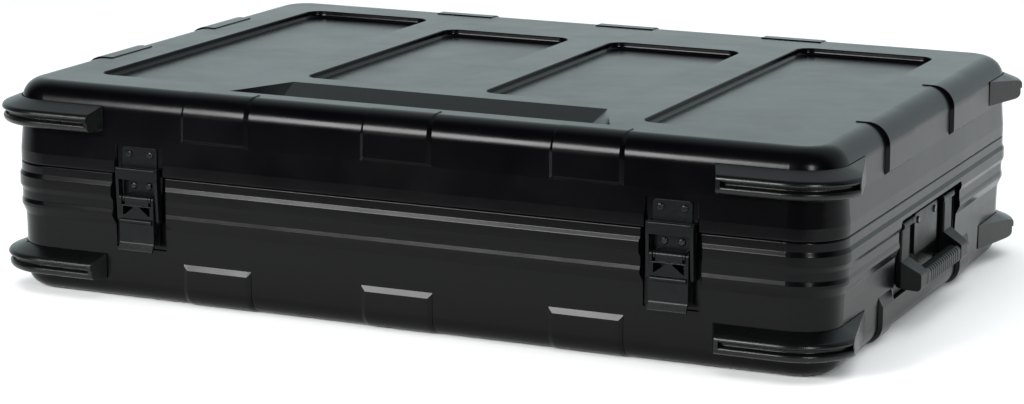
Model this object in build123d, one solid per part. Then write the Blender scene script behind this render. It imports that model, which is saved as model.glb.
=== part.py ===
from build123d import *
import math
import os

# Hard case, closed, in millimetres. X runs to the right, Y to the back, Z up.
# The origin lies on the floor under the middle of the case.
# A wall section is drawn as (outward from the nominal wall face, height).

# Driving sizes of the two shells
CASE_WIDTH = 854.0
CASE_DEPTH = 599.0
CASE_HEIGHT = 211.0
CORNER_RADIUS = 41.0
WALL = 5.0
TOP_ROUNDING = 22.0
BOTTOM_ROUNDING = 20.0
INNER_ROUNDING = 15.0
PARTING_HEIGHT = 128.0
PARTING_GAP = 0.3
LID_BOTTOM = PARTING_HEIGHT + PARTING_GAP
RIM_ROUNDING = 1.5
LOWER_WALL_DRAFT = 0.5
RIM_REACH = 4.0
BEAD_REACH = 5.8
BEAD_TOP_BELOW_RIM = 9.0
BEAD_BOTTOM_BELOW_RIM = 26.0
BAND_REACH = 3.6
STEP_REACH = 4.5
STEP_BELOW_RIM = 40.0
STEP_FOOT_BELOW_RIM = 52.0
LID_WALL_REACH = 2.0
LID_TOP_REACH = 1.5
LID_FLARE_HEIGHT = 36.0

# Tongue on the base, groove and gasket in the lid
TONGUE_THICKNESS = 3.0
TONGUE_RISE = 6.0
TONGUE_DROP = 11.0
TONGUE_GAP = 0.3
LEDGE_RISE = 9.7
LEDGE_THICKNESS = 3.0
GASKET_THICKNESS = 3.7
GASKET_SIDE_GAP = 0.2

# Long pockets in the lid top
POCKET_DEPTH = 7.0
POCKET_WIDTH = 147.0
POCKET_CORNER = 15.0
OUTER_POCKET_PLACE = 290.5
OUTER_POCKET_LENGTH = 466.0
INNER_POCKET_PLACE = 97.0
INNER_POCKET_LENGTH = 340.0
INNER_POCKET_SHIFT = 10.0
POCKET_DRAFT = 6.0
POCKET_MOUTH_ROUNDING = 3.0
POCKET_FLOOR_ROUNDING = 3.5

# Bare trapezoid recess between the pockets and the front edge
RECESS_FRONT_FROM_FACE = 38.5
RECESS_BACK_FROM_FACE = 111.5
RECESS_FRONT_LENGTH = 398.0
RECESS_BACK_LENGTH = 334.0
RECESS_DEPTH = 10.0
RECESS_RAMP = 30.0
RECESS_STEEP = 4.0

# Raised pads on the walls
PAD_HEIGHT = 3.5
PAD_END_DROP = 3.2
PAD_END_RUN = 4.2
BASE_PAD_HEIGHT = 1.8
BASE_PAD_END_DROP = 1.5
BASE_PAD_SLOPE = 3.0
PAD_WIDTH = 74.0
PAD_SPACING = 193.0
LID_PAD_FOOT = CASE_HEIGHT - 47.0
LID_PAD_RISE = 1.0
LID_PAD_RETURN = 28.0
BASE_PAD_TOP = 43.0
SIDE_PAD_PLACE = 107.5
SIDE_PAD_WIDTH = 88.0
SIDE_BASE_PAD_PLACE = 131.5
SIDE_BASE_PAD_WIDTH = 40.0
SIDE_BASE_PAD_TOP = 47.0

# Corner bumpers
LID_BUMPER_MIDDLE = CASE_HEIGHT - 31.5
BASE_BUMPER_MIDDLE = 31.5
BUMPER_DROP = 11.0
BUMPER_SHOULDER_RISE = 6.0
BUMPER_RISE = 14.0
LID_BUMPER_REACH = 22.0
BASE_BUMPER_REACH = 19.0
BUMPER_FRONT_ARM = 110.0
LID_BUMPER_SIDE_ARM = 89.0
BASE_BUMPER_SIDE_ARM = 105.0
BUMPER_FRONT_BEVEL = 8.0
BUMPER_SIDE_FULL_REACH = 10.0
BUMPER_ROUNDING = 5.0
BUMPER_GROOVE_DROP = 1.0
BUMPER_GROOVE_WIDTH = 4.0
BUMPER_GROOVE_DEPTH = 7.0
BUMPER_RIDGE_ROUNDING = 3.0
BUMPER_LOWER_RIDGE_SET_BACK = 1.5
BUMPER_GROOVE_STOP = 4.0
BUMPER_SEAT_GAP = 0.3
BUMPER_SCREW_PLACES = (46.0, 88.0)
BUMPER_SCREW_RADIUS = 2.4
BUMPER_SCREW_DEPTH = 9.0
SCREW_HEAD_RADIUS = 4.5
SCREW_HEAD_HEIGHT = 2.4
SCREW_HOLE_GAP = 0.1

# Draw latches on the front
LATCH_PLACE = 277.0
LATCH_POCKET_HALF = 28.0
LATCH_POCKET_BOTTOM = PARTING_HEIGHT - 74.0
LATCH_POCKET_FLOOR = -3.0
LATCH_BOSS_DEPTH = 8.0
LATCH_BOSS_EDGE = 5.0
KEEPER_POCKET_HALF = 25.0
KEEPER_POCKET_TOP = LID_BOTTOM + 28.7
LATCH_PLATE_HALF = 19.0
LATCH_PLATE_BOTTOM = PARTING_HEIGHT - 70.0
LATCH_PLATE_TOP = PARTING_HEIGHT - 4.0
LATCH_STEEL = 1.5
LEVER_PIVOT_OUT = 5.0
LEVER_PIVOT_HEIGHT = PARTING_HEIGHT - 23.0
LEVER_PIN_RADIUS = 2.0
PIN_GAP = 0.05
EYE_WALL = 2.2
EAR_THICKNESS = 2.0
SIDE_GAP = 1.0
LEVER_CHEEK = 2.5
CLAW_PIVOT_OUT = 2.5
CLAW_PIVOT_HEIGHT = PARTING_HEIGHT - 43.0
CLAW_PIN_RADIUS = 1.6
LEVER_FACE_OUT = 7.0
LEVER_FACE_THICKNESS = 2.5
LEVER_TIP_HEIGHT = PARTING_HEIGHT - 74.0
LEVER_TIP_REACH = 14.0
LEVER_WINDOW_TOP = PARTING_HEIGHT - 30.0
LEVER_WINDOW_BOTTOM = PARTING_HEIGHT - 40.0
LEVER_RIB_HEIGHT = PARTING_HEIGHT - 44.5
LEVER_RIB_RADIUS = 2.6
CLAW_ARM = 3.0
CLAW_ARM_INNER = 1.0
CLAW_ARM_OUTER = 7.0
CLAW_BAR_BOTTOM = PARTING_HEIGHT - 4.0
CLAW_BAR_TOP = PARTING_HEIGHT + 8.0
CLAW_BAR_THICKNESS = 2.7
CLAW_HOOK_THICKNESS = 2.4
CLAW_HOOK_OVERLAP = 3.2
KEEPER_THICKNESS = 1.5
KEEPER_TOP = LID_BOTTOM + 26.7
KEEPER_LEDGE_REACH = 5.8
KEEPER_LEDGE_GAP = 0.3
RIVET_RADIUS = 2.4
RIVET_HEAD_RADIUS = 3.6
RIVET_HEAD_HEIGHT = 1.6
PLATE_RIVET_SPREAD = 8.5
PLATE_RIVET_UPPER = PARTING_HEIGHT - 11.5
PLATE_RIVET_LOWER = PARTING_HEIGHT - 62.0
KEEPER_RIVET_SPREAD = 11.5
KEEPER_RIVET_HEIGHT = LID_BOTTOM + 20.2

# Stop hinges on the back
HINGE_PLACE = 262.0
HINGE_HALF = 44.0
HINGE_SEAT = 1.0
HINGE_SEAT_EDGE = 1.5
HINGE_LEAF = 2.0
HINGE_AXIS_OUT = 5.5
HINGE_BARREL_RADIUS = 4.0
HINGE_PIN_RADIUS = 2.0
HINGE_BARREL_HALF = 40.0
HINGE_KNUCKLES = 5
KNUCKLE_GAP = 0.4
BASE_LEAF_DROP = 31.0
LID_LEAF_RISE = 27.0
LEAF_EDGE_FROM_AXIS = 4.65
STOP_ANGLE = 100.0
STOP_FIN = 2.0
STOP_FIN_REACH = 10.0
STOP_FIN_FOOT = 20.0
STOP_GAP = 0.3
HINGE_RIVET_SPREAD = 28.0
BASE_HINGE_RIVET_DROP = 24.5
LID_HINGE_RIVET_RISE = 20.5

# Fold-down handles on the two ends
HANDLE_HALF = 103.0
HANDLE_BOTTOM = 35.0
HANDLE_TOP = PARTING_HEIGHT - 18.0
HANDLE_SEAT = -6.0
HANDLE_BOSS_DEPTH = 9.2
HANDLE_BOSS_EDGE = 5.0
HANDLE_SEAT_EDGE = 1.0
HANDLE_PLATE_THICKNESS = 1.5
HANDLE_FRAME_HEIGHT = 4.5
HANDLE_FRAME_WIDTH = 3.0
HANDLE_PANEL_HALF = 38.0
HANDLE_PANEL_BOTTOM = HANDLE_TOP - 46.0
HANDLE_PANEL_HEIGHT = 4.0
HANDLE_PANEL_TOP = HANDLE_TOP - 6.0
HANDLE_PIVOT_OUT = 0.0
HANDLE_PIVOT_HEIGHT = HANDLE_TOP - 8.5
HANDLE_PIN_RADIUS = 1.8
HANDLE_KNUCKLE_RADIUS = 3.8
HANDLE_ARM_START = 59.0
HANDLE_ARM_END = 86.0
HANDLE_ARM_THICKNESS = 5.0
HANDLE_ARM_INNER = -3.6
HANDLE_ARM_ROUNDING = 2.0
HANDLE_EAR = 9.0
HANDLE_SIDE_GAP = 0.8
GRIP_MIDDLE_OUT = 12.5
GRIP_MIDDLE_HEIGHT = HANDLE_BOTTOM + 12.0
GRIP_THICKNESS = 15.0
GRIP_HEIGHT = 17.0
GRIP_ROUNDING = 5.0
GRIP_CORE_RADIUS = 4.5
GRIP_END_GAP = 0.3
GRIP_RIM_ROUNDING = 1.5
BAIL_BLOCK_RISE = 20.0
BAIL_BLOCK_SLANT = 6.0
HANDLE_RIVET_PLACES = (28.0, 48.0)
HANDLE_RIVET_HEIGHTS = (HANDLE_BOTTOM + 9.0, HANDLE_TOP - 13.0)

# Foam lining
FOAM_FROM_FACE = 11.0
FOAM_FLOOR = 20.0
FOAM_INNER_HALF_WIDTH = 381.0
FOAM_INNER_HALF_DEPTH = 254.0
FOAM_CORNER_OVERLAP = 4.0
FOAM_BASE_TOP_BELOW_RIM = 3.0
LID_FOAM_THICKNESS = 20.0
LID_FOAM_RING_BOTTOM = LID_BOTTOM + 18.7

# Values worked out from the driving sizes
HINGE_AXIS_HEIGHT = PARTING_HEIGHT + PARTING_GAP / 2
TONGUE_INNER = -WALL - TONGUE_THICKNESS
LID_LEDGE = LID_BOTTOM + LEDGE_RISE
LID_INNER_RIM = -WALL + TONGUE_GAP
LID_CEILING = CASE_HEIGHT - WALL
POCKET_FLOOR = CASE_HEIGHT - POCKET_DEPTH
POCKET_BOSS_BOTTOM = POCKET_FLOOR - WALL
LEVER_CHEEK_INNER = LATCH_PLATE_HALF - LEVER_CHEEK
EAR_OUTER = LEVER_CHEEK_INNER - SIDE_GAP
EAR_INNER = EAR_OUTER - EAR_THICKNESS
LEVER_KNUCKLE_HALF = EAR_INNER - SIDE_GAP / 2
CLAW_ARM_START = LATCH_PLATE_HALF + SIDE_GAP
CLAW_HALF = CLAW_ARM_START + CLAW_ARM
HANDLE_EAR_END = HANDLE_ARM_START - HANDLE_SIDE_GAP
HANDLE_EAR_START = HANDLE_EAR_END - HANDLE_EAR
HANDLE_PLATE_FACE = HANDLE_SEAT + HANDLE_PLATE_THICKNESS

# Each wall's turn about Z and the distance of its nominal face from the middle
WALLS = {
    "front": (180.0, CASE_DEPTH / 2),
    "back": (0.0, CASE_DEPTH / 2),
    "right": (-90.0, CASE_WIDTH / 2),
    "left": (90.0, CASE_WIDTH / 2),
}


def profile(corners):
    """Closed flat face from corners given as (across, up, rounding)."""
    count = len(corners)
    places = [Vector(across, up) for across, up, _ in corners]
    rounded = []
    for index, (_, _, rounding) in enumerate(corners):
        here = places[index]
        if rounding == 0:
            rounded.append((here, None, here))
            continue
        to_last = (places[index - 1] - here).normalized()
        to_next = (places[(index + 1) % count] - here).normalized()
        half = math.radians(to_last.get_angle(to_next) / 2)
        inward = (to_last + to_next).normalized()
        start = here + to_last * (rounding / math.tan(half))
        end = here + to_next * (rounding / math.tan(half))
        middle = here + inward * (rounding / math.sin(half) - rounding)
        rounded.append((start, middle, end))
    edges = []
    for index, (start, middle, end) in enumerate(rounded):
        if middle is not None:
            edges.append(Edge.make_three_point_arc(start, middle, end))
        following = rounded[(index + 1) % count][0]
        if (following - end).length > 1e-6:
            edges.append(Edge.make_line(end, following))
    face = Face(Wire(edges))
    return face if face.normal_at().Z > 0 else -face


def wall_plane(along):
    """Plane across a wall at a place along it, for sections drawn as (outward, height)."""
    return Plane(origin=(along, 0, 0), x_dir=(0, 1, 0), z_dir=(1, 0, 0))


def along_wall(face, start, end):
    """Runs a wall section from start to end along the wall's own X, with Y outward."""
    return extrude(wall_plane(start) * face, amount=end - start)


def upright(face, bottom, top):
    """Raises a face drawn as (along the wall, outward) from bottom to top."""
    return extrude(Pos(0, 0, bottom) * face, amount=top - bottom)


def block(along, outward, height, rounding=0.0):
    """Box between three pairs of limits, its edges along the outward axis rounded."""
    size = [pair[1] - pair[0] for pair in (along, outward, height)]
    middle = [(pair[0] + pair[1]) / 2 for pair in (along, outward, height)]
    shape = Pos(*middle) * Box(*size)
    if rounding > 0:
        shape = fillet(shape.edges().filter_by(Axis.Y), rounding)
    return shape


def rod(start, end, radius):
    """Round bar from one point to another."""
    start, end = Vector(*start), Vector(*end)
    plane = Plane(origin=start, z_dir=end - start)
    return plane * Cylinder(radius, (end - start).length, align=(Align.CENTER, Align.CENTER, Align.MIN))


def turned(corners, origin, direction):
    """Turned piece from corners (radius, height, rounding), its axis along direction."""
    shape = Rot(90, 0, 0) * revolve(profile(corners), axis=Axis.Y)
    return Plane(origin=origin, z_dir=direction) * shape


def on_wall(shape, wall, along=0.0):
    """Puts a shape drawn in a wall's frame on that wall, shifted along it."""
    turn, distance = WALLS[wall]
    return Rot(0, 0, turn) * Pos(along, distance, 0) * shape


def all_round(face):
    """Runs a wall section round all four walls and corners as one closed ring."""
    straight_front = CASE_WIDTH / 2 - CORNER_RADIUS
    straight_side = CASE_DEPTH / 2 - CORNER_RADIUS
    front = on_wall(along_wall(face, -straight_front, 0), "front")
    side = on_wall(along_wall(face, 0, straight_side), "right")
    plane = Plane(origin=(straight_front, -straight_side, 0), x_dir=(0, -1, 0), z_dir=(-1, 0, 0))
    axis = Axis((straight_front, -straight_side, 0), (0, 0, 1))
    corner = revolve(plane * (Pos(CORNER_RADIUS, 0) * face), axis=axis, revolution_arc=90)
    quarter = front + corner + side
    half = quarter + mirror(quarter, about=Plane.YZ)
    return half + mirror(half, about=Plane.XZ)


def shell_plate(bottom, top):
    """Flat plate that closes the ring of a wall section."""
    width = CASE_WIDTH - 2 * CORNER_RADIUS
    depth = CASE_DEPTH - 2 * CORNER_RADIUS
    return Pos(0, 0, (bottom + top) / 2) * Box(width, depth, top - bottom)


def base_section():
    """Section of the base wall with its bead, band, step and tongue."""
    rim = PARTING_HEIGHT
    return profile([
        (-CORNER_RADIUS, 0, 0),
        (-LOWER_WALL_DRAFT, 0, BOTTOM_ROUNDING),
        (0, rim - STEP_FOOT_BELOW_RIM - 12, 0),
        (0.6, rim - STEP_FOOT_BELOW_RIM, 3),
        (STEP_REACH, rim - STEP_BELOW_RIM - 3, 1.5),
        (STEP_REACH, rim - STEP_BELOW_RIM, 1.2),
        (BAND_REACH, rim - STEP_BELOW_RIM + 4, 1.5),
        (BAND_REACH, rim - BEAD_BOTTOM_BELOW_RIM - 2, 2),
        (BEAD_REACH, rim - BEAD_BOTTOM_BELOW_RIM + 3, 2),
        (BEAD_REACH, rim - BEAD_TOP_BELOW_RIM - 4, 2),
        (RIM_REACH, rim - BEAD_TOP_BELOW_RIM, 1.5),
        (RIM_REACH, rim, RIM_ROUNDING),
        (-WALL, rim, 0),
        (-WALL, rim + TONGUE_RISE, 0.8),
        (TONGUE_INNER, rim + TONGUE_RISE, 0.8),
        (TONGUE_INNER, rim - TONGUE_DROP, 0),
        (-WALL, rim - TONGUE_DROP - TONGUE_THICKNESS, 0),
        (-WALL, WALL, INNER_ROUNDING),
        (-CORNER_RADIUS, WALL, 0),
    ])


def lid_section():
    """Section of the lid wall with its flared foot, gasket ledge and rounded top."""
    ledge_inner = TONGUE_INNER - TONGUE_GAP - 0.4
    ledge_top = LID_LEDGE + LEDGE_THICKNESS
    return profile([
        (-CORNER_RADIUS, CASE_HEIGHT, 0),
        (LID_TOP_REACH, CASE_HEIGHT, TOP_ROUNDING),
        (LID_WALL_REACH, LID_BOTTOM + LID_FLARE_HEIGHT, 4),
        (RIM_REACH, LID_BOTTOM + LID_FLARE_HEIGHT / 3, 1.2),
        (RIM_REACH, LID_BOTTOM, RIM_ROUNDING),
        (LID_INNER_RIM, LID_BOTTOM, 0.8),
        (LID_INNER_RIM, LID_LEDGE, 0),
        (ledge_inner, LID_LEDGE, 0.5),
        (ledge_inner, ledge_top, 0),
        (-WALL, ledge_top + 3, 0),
        (-WALL, LID_CEILING, TOP_ROUNDING - WALL),
        (-CORNER_RADIUS, LID_CEILING, 0),
    ])


def raised_pad(section, width, height, drop):
    """Pad whose section depends on its height, with both ends bevelled down towards the wall."""
    straight = width / 2 - PAD_END_RUN
    tall, low = section(height), section(height - drop)
    end = loft([wall_plane(straight) * tall, wall_plane(width / 2) * low], ruled=True)
    return along_wall(tall, -straight, straight) + end + mirror(end, about=Plane.YZ)


def lid_pad(width):
    """Pad that climbs the lid wall and runs over the rounded top edge."""

    def section(height):
        face_out = LID_WALL_REACH + height
        top = CASE_HEIGHT + LID_PAD_RISE - PAD_HEIGHT + height
        return profile([
            (-WALL / 2, LID_PAD_FOOT - 1.5, 0),
            (0.5, LID_PAD_FOOT - 1.5, 0),
            (face_out, LID_PAD_FOOT + height, 0.5),
            (face_out - 0.4, top, TOP_ROUNDING),
            (-LID_PAD_RETURN, top, 0),
            (-LID_PAD_RETURN - 2, top - 2, 0),
            (-TOP_ROUNDING, top - 4, 0),
            (-WALL / 2, CASE_HEIGHT - TOP_ROUNDING / 2 - 4, 0),
        ])

    return raised_pad(section, width, PAD_HEIGHT, PAD_END_DROP)


def base_pad(width, top, full_height, drop):
    """Pad that climbs from the rounded bottom edge up the base wall, its top sloping steeply outward."""

    def section(height):
        return profile([
            (-WALL / 2, top + 1, 0),
            (-LOWER_WALL_DRAFT, top + 1, 0),
            (height, top - height * BASE_PAD_SLOPE, 0.5),
            (height, 0, BOTTOM_ROUNDING),
            (-BOTTOM_ROUNDING, 0, 0),
            (-BOTTOM_ROUNDING, 2, 0),
            (-WALL / 2, BOTTOM_ROUNDING, 0),
        ])

    return raised_pad(section, width, full_height, drop)


def pocket_cut(length):
    """Long pocket's hollow: drafted walls, rounded mouth and rounded floor, running along Y."""
    draft = POCKET_DEPTH * math.tan(math.radians(POCKET_DRAFT))
    mouth = POCKET_MOUTH_ROUNDING
    floor = RectangleRounded(POCKET_WIDTH - 2 * draft, length - 2 * draft, POCKET_CORNER)
    cut = extrude(Pos(0, 0, POCKET_FLOOR) * floor, amount=POCKET_DEPTH + mouth, taper=-POCKET_DRAFT)
    cut = fillet(cut.faces().sort_by(Axis.Z)[0].edges(), POCKET_FLOOR_ROUNDING)
    lip = RectangleRounded(POCKET_WIDTH - mouth / 2, length - mouth / 2, POCKET_CORNER)
    flare = extrude(Pos(0, 0, CASE_HEIGHT - mouth / 2) * lip, amount=2 * mouth, taper=-45)
    return cut + flare


def pocket_boss(length):
    """Thickening under a long pocket that keeps the wall round it."""
    width = POCKET_WIDTH + 2 * WALL
    shape = RectangleRounded(width, length + 2 * WALL, POCKET_CORNER + WALL)
    return extrude(Pos(0, 0, POCKET_BOSS_BOTTOM) * shape, amount=LID_CEILING + 1 - POCKET_BOSS_BOTTOM)


def recess_outline(depth, grow=0.0):
    """Trapezoid of the bare recess at a depth under the lid top."""
    front = -CASE_DEPTH / 2 + RECESS_FRONT_FROM_FACE + RECESS_STEEP * depth / RECESS_DEPTH - grow
    back = -CASE_DEPTH / 2 + RECESS_BACK_FROM_FACE - RECESS_RAMP * depth / RECESS_DEPTH + grow
    front_half = RECESS_FRONT_LENGTH / 2 - RECESS_STEEP * depth / RECESS_DEPTH + grow
    back_half = RECESS_BACK_LENGTH / 2 - RECESS_STEEP * depth / RECESS_DEPTH + grow
    corners = [(-front_half, front), (front_half, front), (back_half, back), (-back_half, back)]
    return Pos(0, 0, CASE_HEIGHT - depth) * make_face(Polyline(*corners, close=True))


def recess_cut():
    """Hollow of the bare recess: steep front and ends, a ramp at the back and a flat floor."""
    over = -2.0
    return loft([recess_outline(RECESS_DEPTH), recess_outline(over)], ruled=True)


def recess_boss():
    """Thickening under the bare recess."""
    outline = recess_outline(0, WALL)
    bottom = CASE_HEIGHT - RECESS_DEPTH - WALL
    return extrude(Pos(0, 0, bottom - CASE_HEIGHT) * outline, amount=LID_CEILING + 1 - bottom)


def pocket_mouth(half, floor, bottom, top):
    """Cut for a latch in a wall: its mouth widens towards the outside."""
    edge = 3.0
    outside = BEAD_REACH + 20
    plan = profile([
        (-half, floor, 1.0),
        (half, floor, 1.0),
        (half, RIM_REACH - edge, 2.5),
        (half + edge, BEAD_REACH, 0),
        (half + edge, outside, 0),
        (-half - edge, outside, 0),
        (-half - edge, BEAD_REACH, 0),
        (-half, RIM_REACH - edge, 2.5),
    ])
    return upright(plan, bottom, top)


def rivet_holes(places, inner):
    """Through holes for rivets or screws at (along, height) places."""
    radius = RIVET_RADIUS + SCREW_HOLE_GAP
    outer = BEAD_REACH + 10
    return [rod((along, inner, height), (along, outer, height), radius) for along, height in places]


def rivet(along, height, inner, outer):
    """Rivet from inside to outside with a flat inner head and a domed outer head."""
    length = outer - inner
    flat = RIVET_HEAD_HEIGHT
    corners = [
        (0, -flat, 0),
        (RIVET_HEAD_RADIUS, -flat, 0.5),
        (RIVET_HEAD_RADIUS, 0, 0),
        (RIVET_RADIUS, 0, 0),
        (RIVET_RADIUS, length, 0),
        (RIVET_HEAD_RADIUS, length, 0),
        (RIVET_HEAD_RADIUS, length + RIVET_HEAD_HEIGHT, 1.4),
        (0, length + RIVET_HEAD_HEIGHT, 0),
    ]
    return turned(corners, (along, inner, height), (0, 1, 0))


def screw(along, height, inner, length):
    """Pan head screw driven outward from the inside of the case."""
    corners = [
        (0, -SCREW_HEAD_HEIGHT, 0),
        (SCREW_HEAD_RADIUS, -SCREW_HEAD_HEIGHT, 1.0),
        (SCREW_HEAD_RADIUS, 0, 0),
        (BUMPER_SCREW_RADIUS, 0, 0),
        (BUMPER_SCREW_RADIUS, length - 1.5, 0),
        (0.6, length, 0),
        (0, length, 0),
    ]
    return turned(corners, (along, inner, height), (0, 1, 0))


def plate_rivet_places():
    """Places of the four rivets of a latch plate."""
    spread = PLATE_RIVET_SPREAD
    return [(side * spread, height) for side in (-1, 1) for height in (PLATE_RIVET_LOWER, PLATE_RIVET_UPPER)]


def keeper_rivet_places():
    """Places of the two rivets of a keeper."""
    return [(side * KEEPER_RIVET_SPREAD, KEEPER_RIVET_HEIGHT) for side in (-1, 1)]


def hinge_rivet_places(height):
    """Places of the three rivets of a hinge leaf."""
    return [(step * HINGE_RIVET_SPREAD, height) for step in (-1, 0, 1)]


def handle_rivet_places():
    """Places of the four rivets of a handle plate: the upper two on its panel, the lower two farther out."""
    inner, outer = HANDLE_RIVET_PLACES
    low, high = HANDLE_RIVET_HEIGHTS
    return [(side * place, height) for side in (-1, 1) for place, height in ((outer, low), (inner, high))]


def pivot_hole(out, height, radius):
    """Bore along the wall for a pin of the given radius."""
    reach = CLAW_HALF + 5
    return rod((-reach, out, height), (reach, out, height), radius + PIN_GAP)


def latch_plate():
    """Steel plate in the base pocket with two ears that carry the lever pin."""
    face = LATCH_POCKET_FLOOR + LATCH_STEEL
    half = (-LATCH_PLATE_HALF, LATCH_PLATE_HALF)
    plate = block(half, (LATCH_POCKET_FLOOR, face), (LATCH_PLATE_BOTTOM, LATCH_PLATE_TOP), 3)
    eye = LEVER_PIN_RADIUS + EYE_WALL
    ear_section = profile([
        (LATCH_POCKET_FLOOR, LEVER_PIVOT_HEIGHT - eye, 0),
        (LEVER_PIVOT_OUT + eye, LEVER_PIVOT_HEIGHT - eye, eye - 0.1),
        (LEVER_PIVOT_OUT + eye, LEVER_PIVOT_HEIGHT + eye, eye - 0.1),
        (LATCH_POCKET_FLOOR, LEVER_PIVOT_HEIGHT + eye, 0),
    ])
    plate += along_wall(ear_section, EAR_INNER, EAR_OUTER)
    plate += along_wall(ear_section, -EAR_OUTER, -EAR_INNER)
    plate -= pivot_hole(LEVER_PIVOT_OUT, LEVER_PIVOT_HEIGHT, LEVER_PIN_RADIUS)
    for hole in rivet_holes(plate_rivet_places(), LATCH_POCKET_FLOOR - 1):
        plate -= hole
    return plate


def latch_lever():
    """Pulled lever: a face with windows and a rib, two cheeks and a knuckle on the pin."""
    out_face = LEVER_FACE_OUT + LEVER_FACE_THICKNESS
    top = LEVER_PIVOT_HEIGHT - LEVER_PIN_RADIUS - EYE_WALL - 1.5
    bend = LEVER_TIP_HEIGHT + 8
    face_section = profile([
        (LEVER_FACE_OUT, top, 0),
        (LEVER_FACE_OUT, bend, 3),
        (LEVER_TIP_REACH - LEVER_FACE_THICKNESS, LEVER_TIP_HEIGHT, 0.8),
        (LEVER_TIP_REACH, LEVER_TIP_HEIGHT, 0.8),
        (out_face, bend, 5),
        (out_face, top, 1.0),
    ])
    lever = along_wall(face_section, -LATCH_PLATE_HALF, LATCH_PLATE_HALF)
    eye = LEVER_PIN_RADIUS + EYE_WALL
    claw_eye = CLAW_PIN_RADIUS + EYE_WALL
    cheek_section = profile([
        (out_face, bend, 0),
        (out_face, LEVER_PIVOT_HEIGHT + eye - 0.5, 3.5),
        (LEVER_PIVOT_OUT - eye, LEVER_PIVOT_HEIGHT + eye - 0.5, 3.5),
        (LEVER_PIVOT_OUT - eye, LEVER_PIVOT_HEIGHT - eye, 2),
        (CLAW_PIVOT_OUT - claw_eye + 0.6, CLAW_PIVOT_HEIGHT + claw_eye, 2),
        (CLAW_PIVOT_OUT - claw_eye + 0.6, CLAW_PIVOT_HEIGHT - claw_eye, 3),
        (LEVER_FACE_OUT - 1, bend + 3, 2),
    ])
    lever += along_wall(cheek_section, LEVER_CHEEK_INNER, LATCH_PLATE_HALF)
    lever += along_wall(cheek_section, -LATCH_PLATE_HALF, -LEVER_CHEEK_INNER)
    knuckle = rod((-LEVER_KNUCKLE_HALF, LEVER_PIVOT_OUT, LEVER_PIVOT_HEIGHT),
                  (LEVER_KNUCKLE_HALF, LEVER_PIVOT_OUT, LEVER_PIVOT_HEIGHT), eye)
    bridge = block((-LEVER_KNUCKLE_HALF, LEVER_KNUCKLE_HALF), (LEVER_PIVOT_OUT, out_face - 0.8),
                   (top - 2, LEVER_PIVOT_HEIGHT))
    rib = rod((-LATCH_PLATE_HALF + 1.5, out_face, LEVER_RIB_HEIGHT),
              (LATCH_PLATE_HALF - 1.5, out_face, LEVER_RIB_HEIGHT), LEVER_RIB_RADIUS)
    lever = lever + knuckle + bridge + rib
    window = profile([
        (2.0, LEVER_WINDOW_TOP, 0.8),
        (LEVER_CHEEK_INNER - 1.5, LEVER_WINDOW_TOP, 0.8),
        (LEVER_CHEEK_INNER - 1.5, LEVER_WINDOW_BOTTOM, 0.8),
    ])
    upright_plane = Plane(origin=(0, LEVER_FACE_OUT - 1, 0), x_dir=(1, 0, 0), z_dir=(0, -1, 0))
    cut = extrude(upright_plane * window, amount=-LEVER_FACE_THICKNESS - 2)
    lever = lever - cut - mirror(cut, about=Plane.YZ)
    lever -= pivot_hole(LEVER_PIVOT_OUT, LEVER_PIVOT_HEIGHT, LEVER_PIN_RADIUS)
    lever -= pivot_hole(CLAW_PIVOT_OUT, CLAW_PIVOT_HEIGHT, CLAW_PIN_RADIUS)
    return lever


def ledge_top():
    """Height of the upper face of the keeper's ledge."""
    return LID_BOTTOM + SIDE_GAP / 2 + KEEPER_THICKNESS


def latch_claw():
    """Frame that hangs on the lever's claw pin and hooks over the keeper's ledge."""
    eye = CLAW_PIN_RADIUS + EYE_WALL
    bar_inner = KEEPER_LEDGE_REACH + 0.5
    bar_outer = bar_inner + CLAW_BAR_THICKNESS
    hook_bottom = ledge_top() + KEEPER_LEDGE_GAP
    arm_section = profile([
        (CLAW_PIVOT_OUT - eye, CLAW_PIVOT_HEIGHT - eye, eye - 0.2),
        (CLAW_PIVOT_OUT + eye, CLAW_PIVOT_HEIGHT - eye, eye - 0.2),
        (CLAW_ARM_OUTER, CLAW_PIVOT_HEIGHT + 10, 3),
        (bar_outer, CLAW_BAR_BOTTOM, 3),
        (bar_outer, CLAW_BAR_TOP, 1.2),
        (CLAW_ARM_INNER + 1.5, CLAW_BAR_TOP, 1.5),
        (CLAW_ARM_INNER, CLAW_BAR_BOTTOM - 6, 3),
        (CLAW_PIVOT_OUT - eye, CLAW_PIVOT_HEIGHT + eye, 2),
    ])
    claw = along_wall(arm_section, CLAW_ARM_START, CLAW_HALF)
    claw += along_wall(arm_section, -CLAW_HALF, -CLAW_ARM_START)
    whole = (-CLAW_HALF, CLAW_HALF)
    bar = block(whole, (bar_inner, bar_outer), (CLAW_BAR_BOTTOM, CLAW_BAR_TOP))
    hook_inner = KEEPER_LEDGE_REACH - CLAW_HOOK_OVERLAP
    hook = block((-LATCH_PLATE_HALF + 1, LATCH_PLATE_HALF - 1), (hook_inner, bar_inner + 0.5),
                 (hook_bottom, hook_bottom + CLAW_HOOK_THICKNESS))
    lip = rod((-CLAW_HALF + 2, bar_outer - 0.3, CLAW_BAR_TOP - 1.6),
              (CLAW_HALF - 2, bar_outer - 0.3, CLAW_BAR_TOP - 1.6), 1.6)
    claw = claw + bar + hook + lip
    return claw - pivot_hole(CLAW_PIVOT_OUT, CLAW_PIVOT_HEIGHT, CLAW_PIN_RADIUS)


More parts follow.
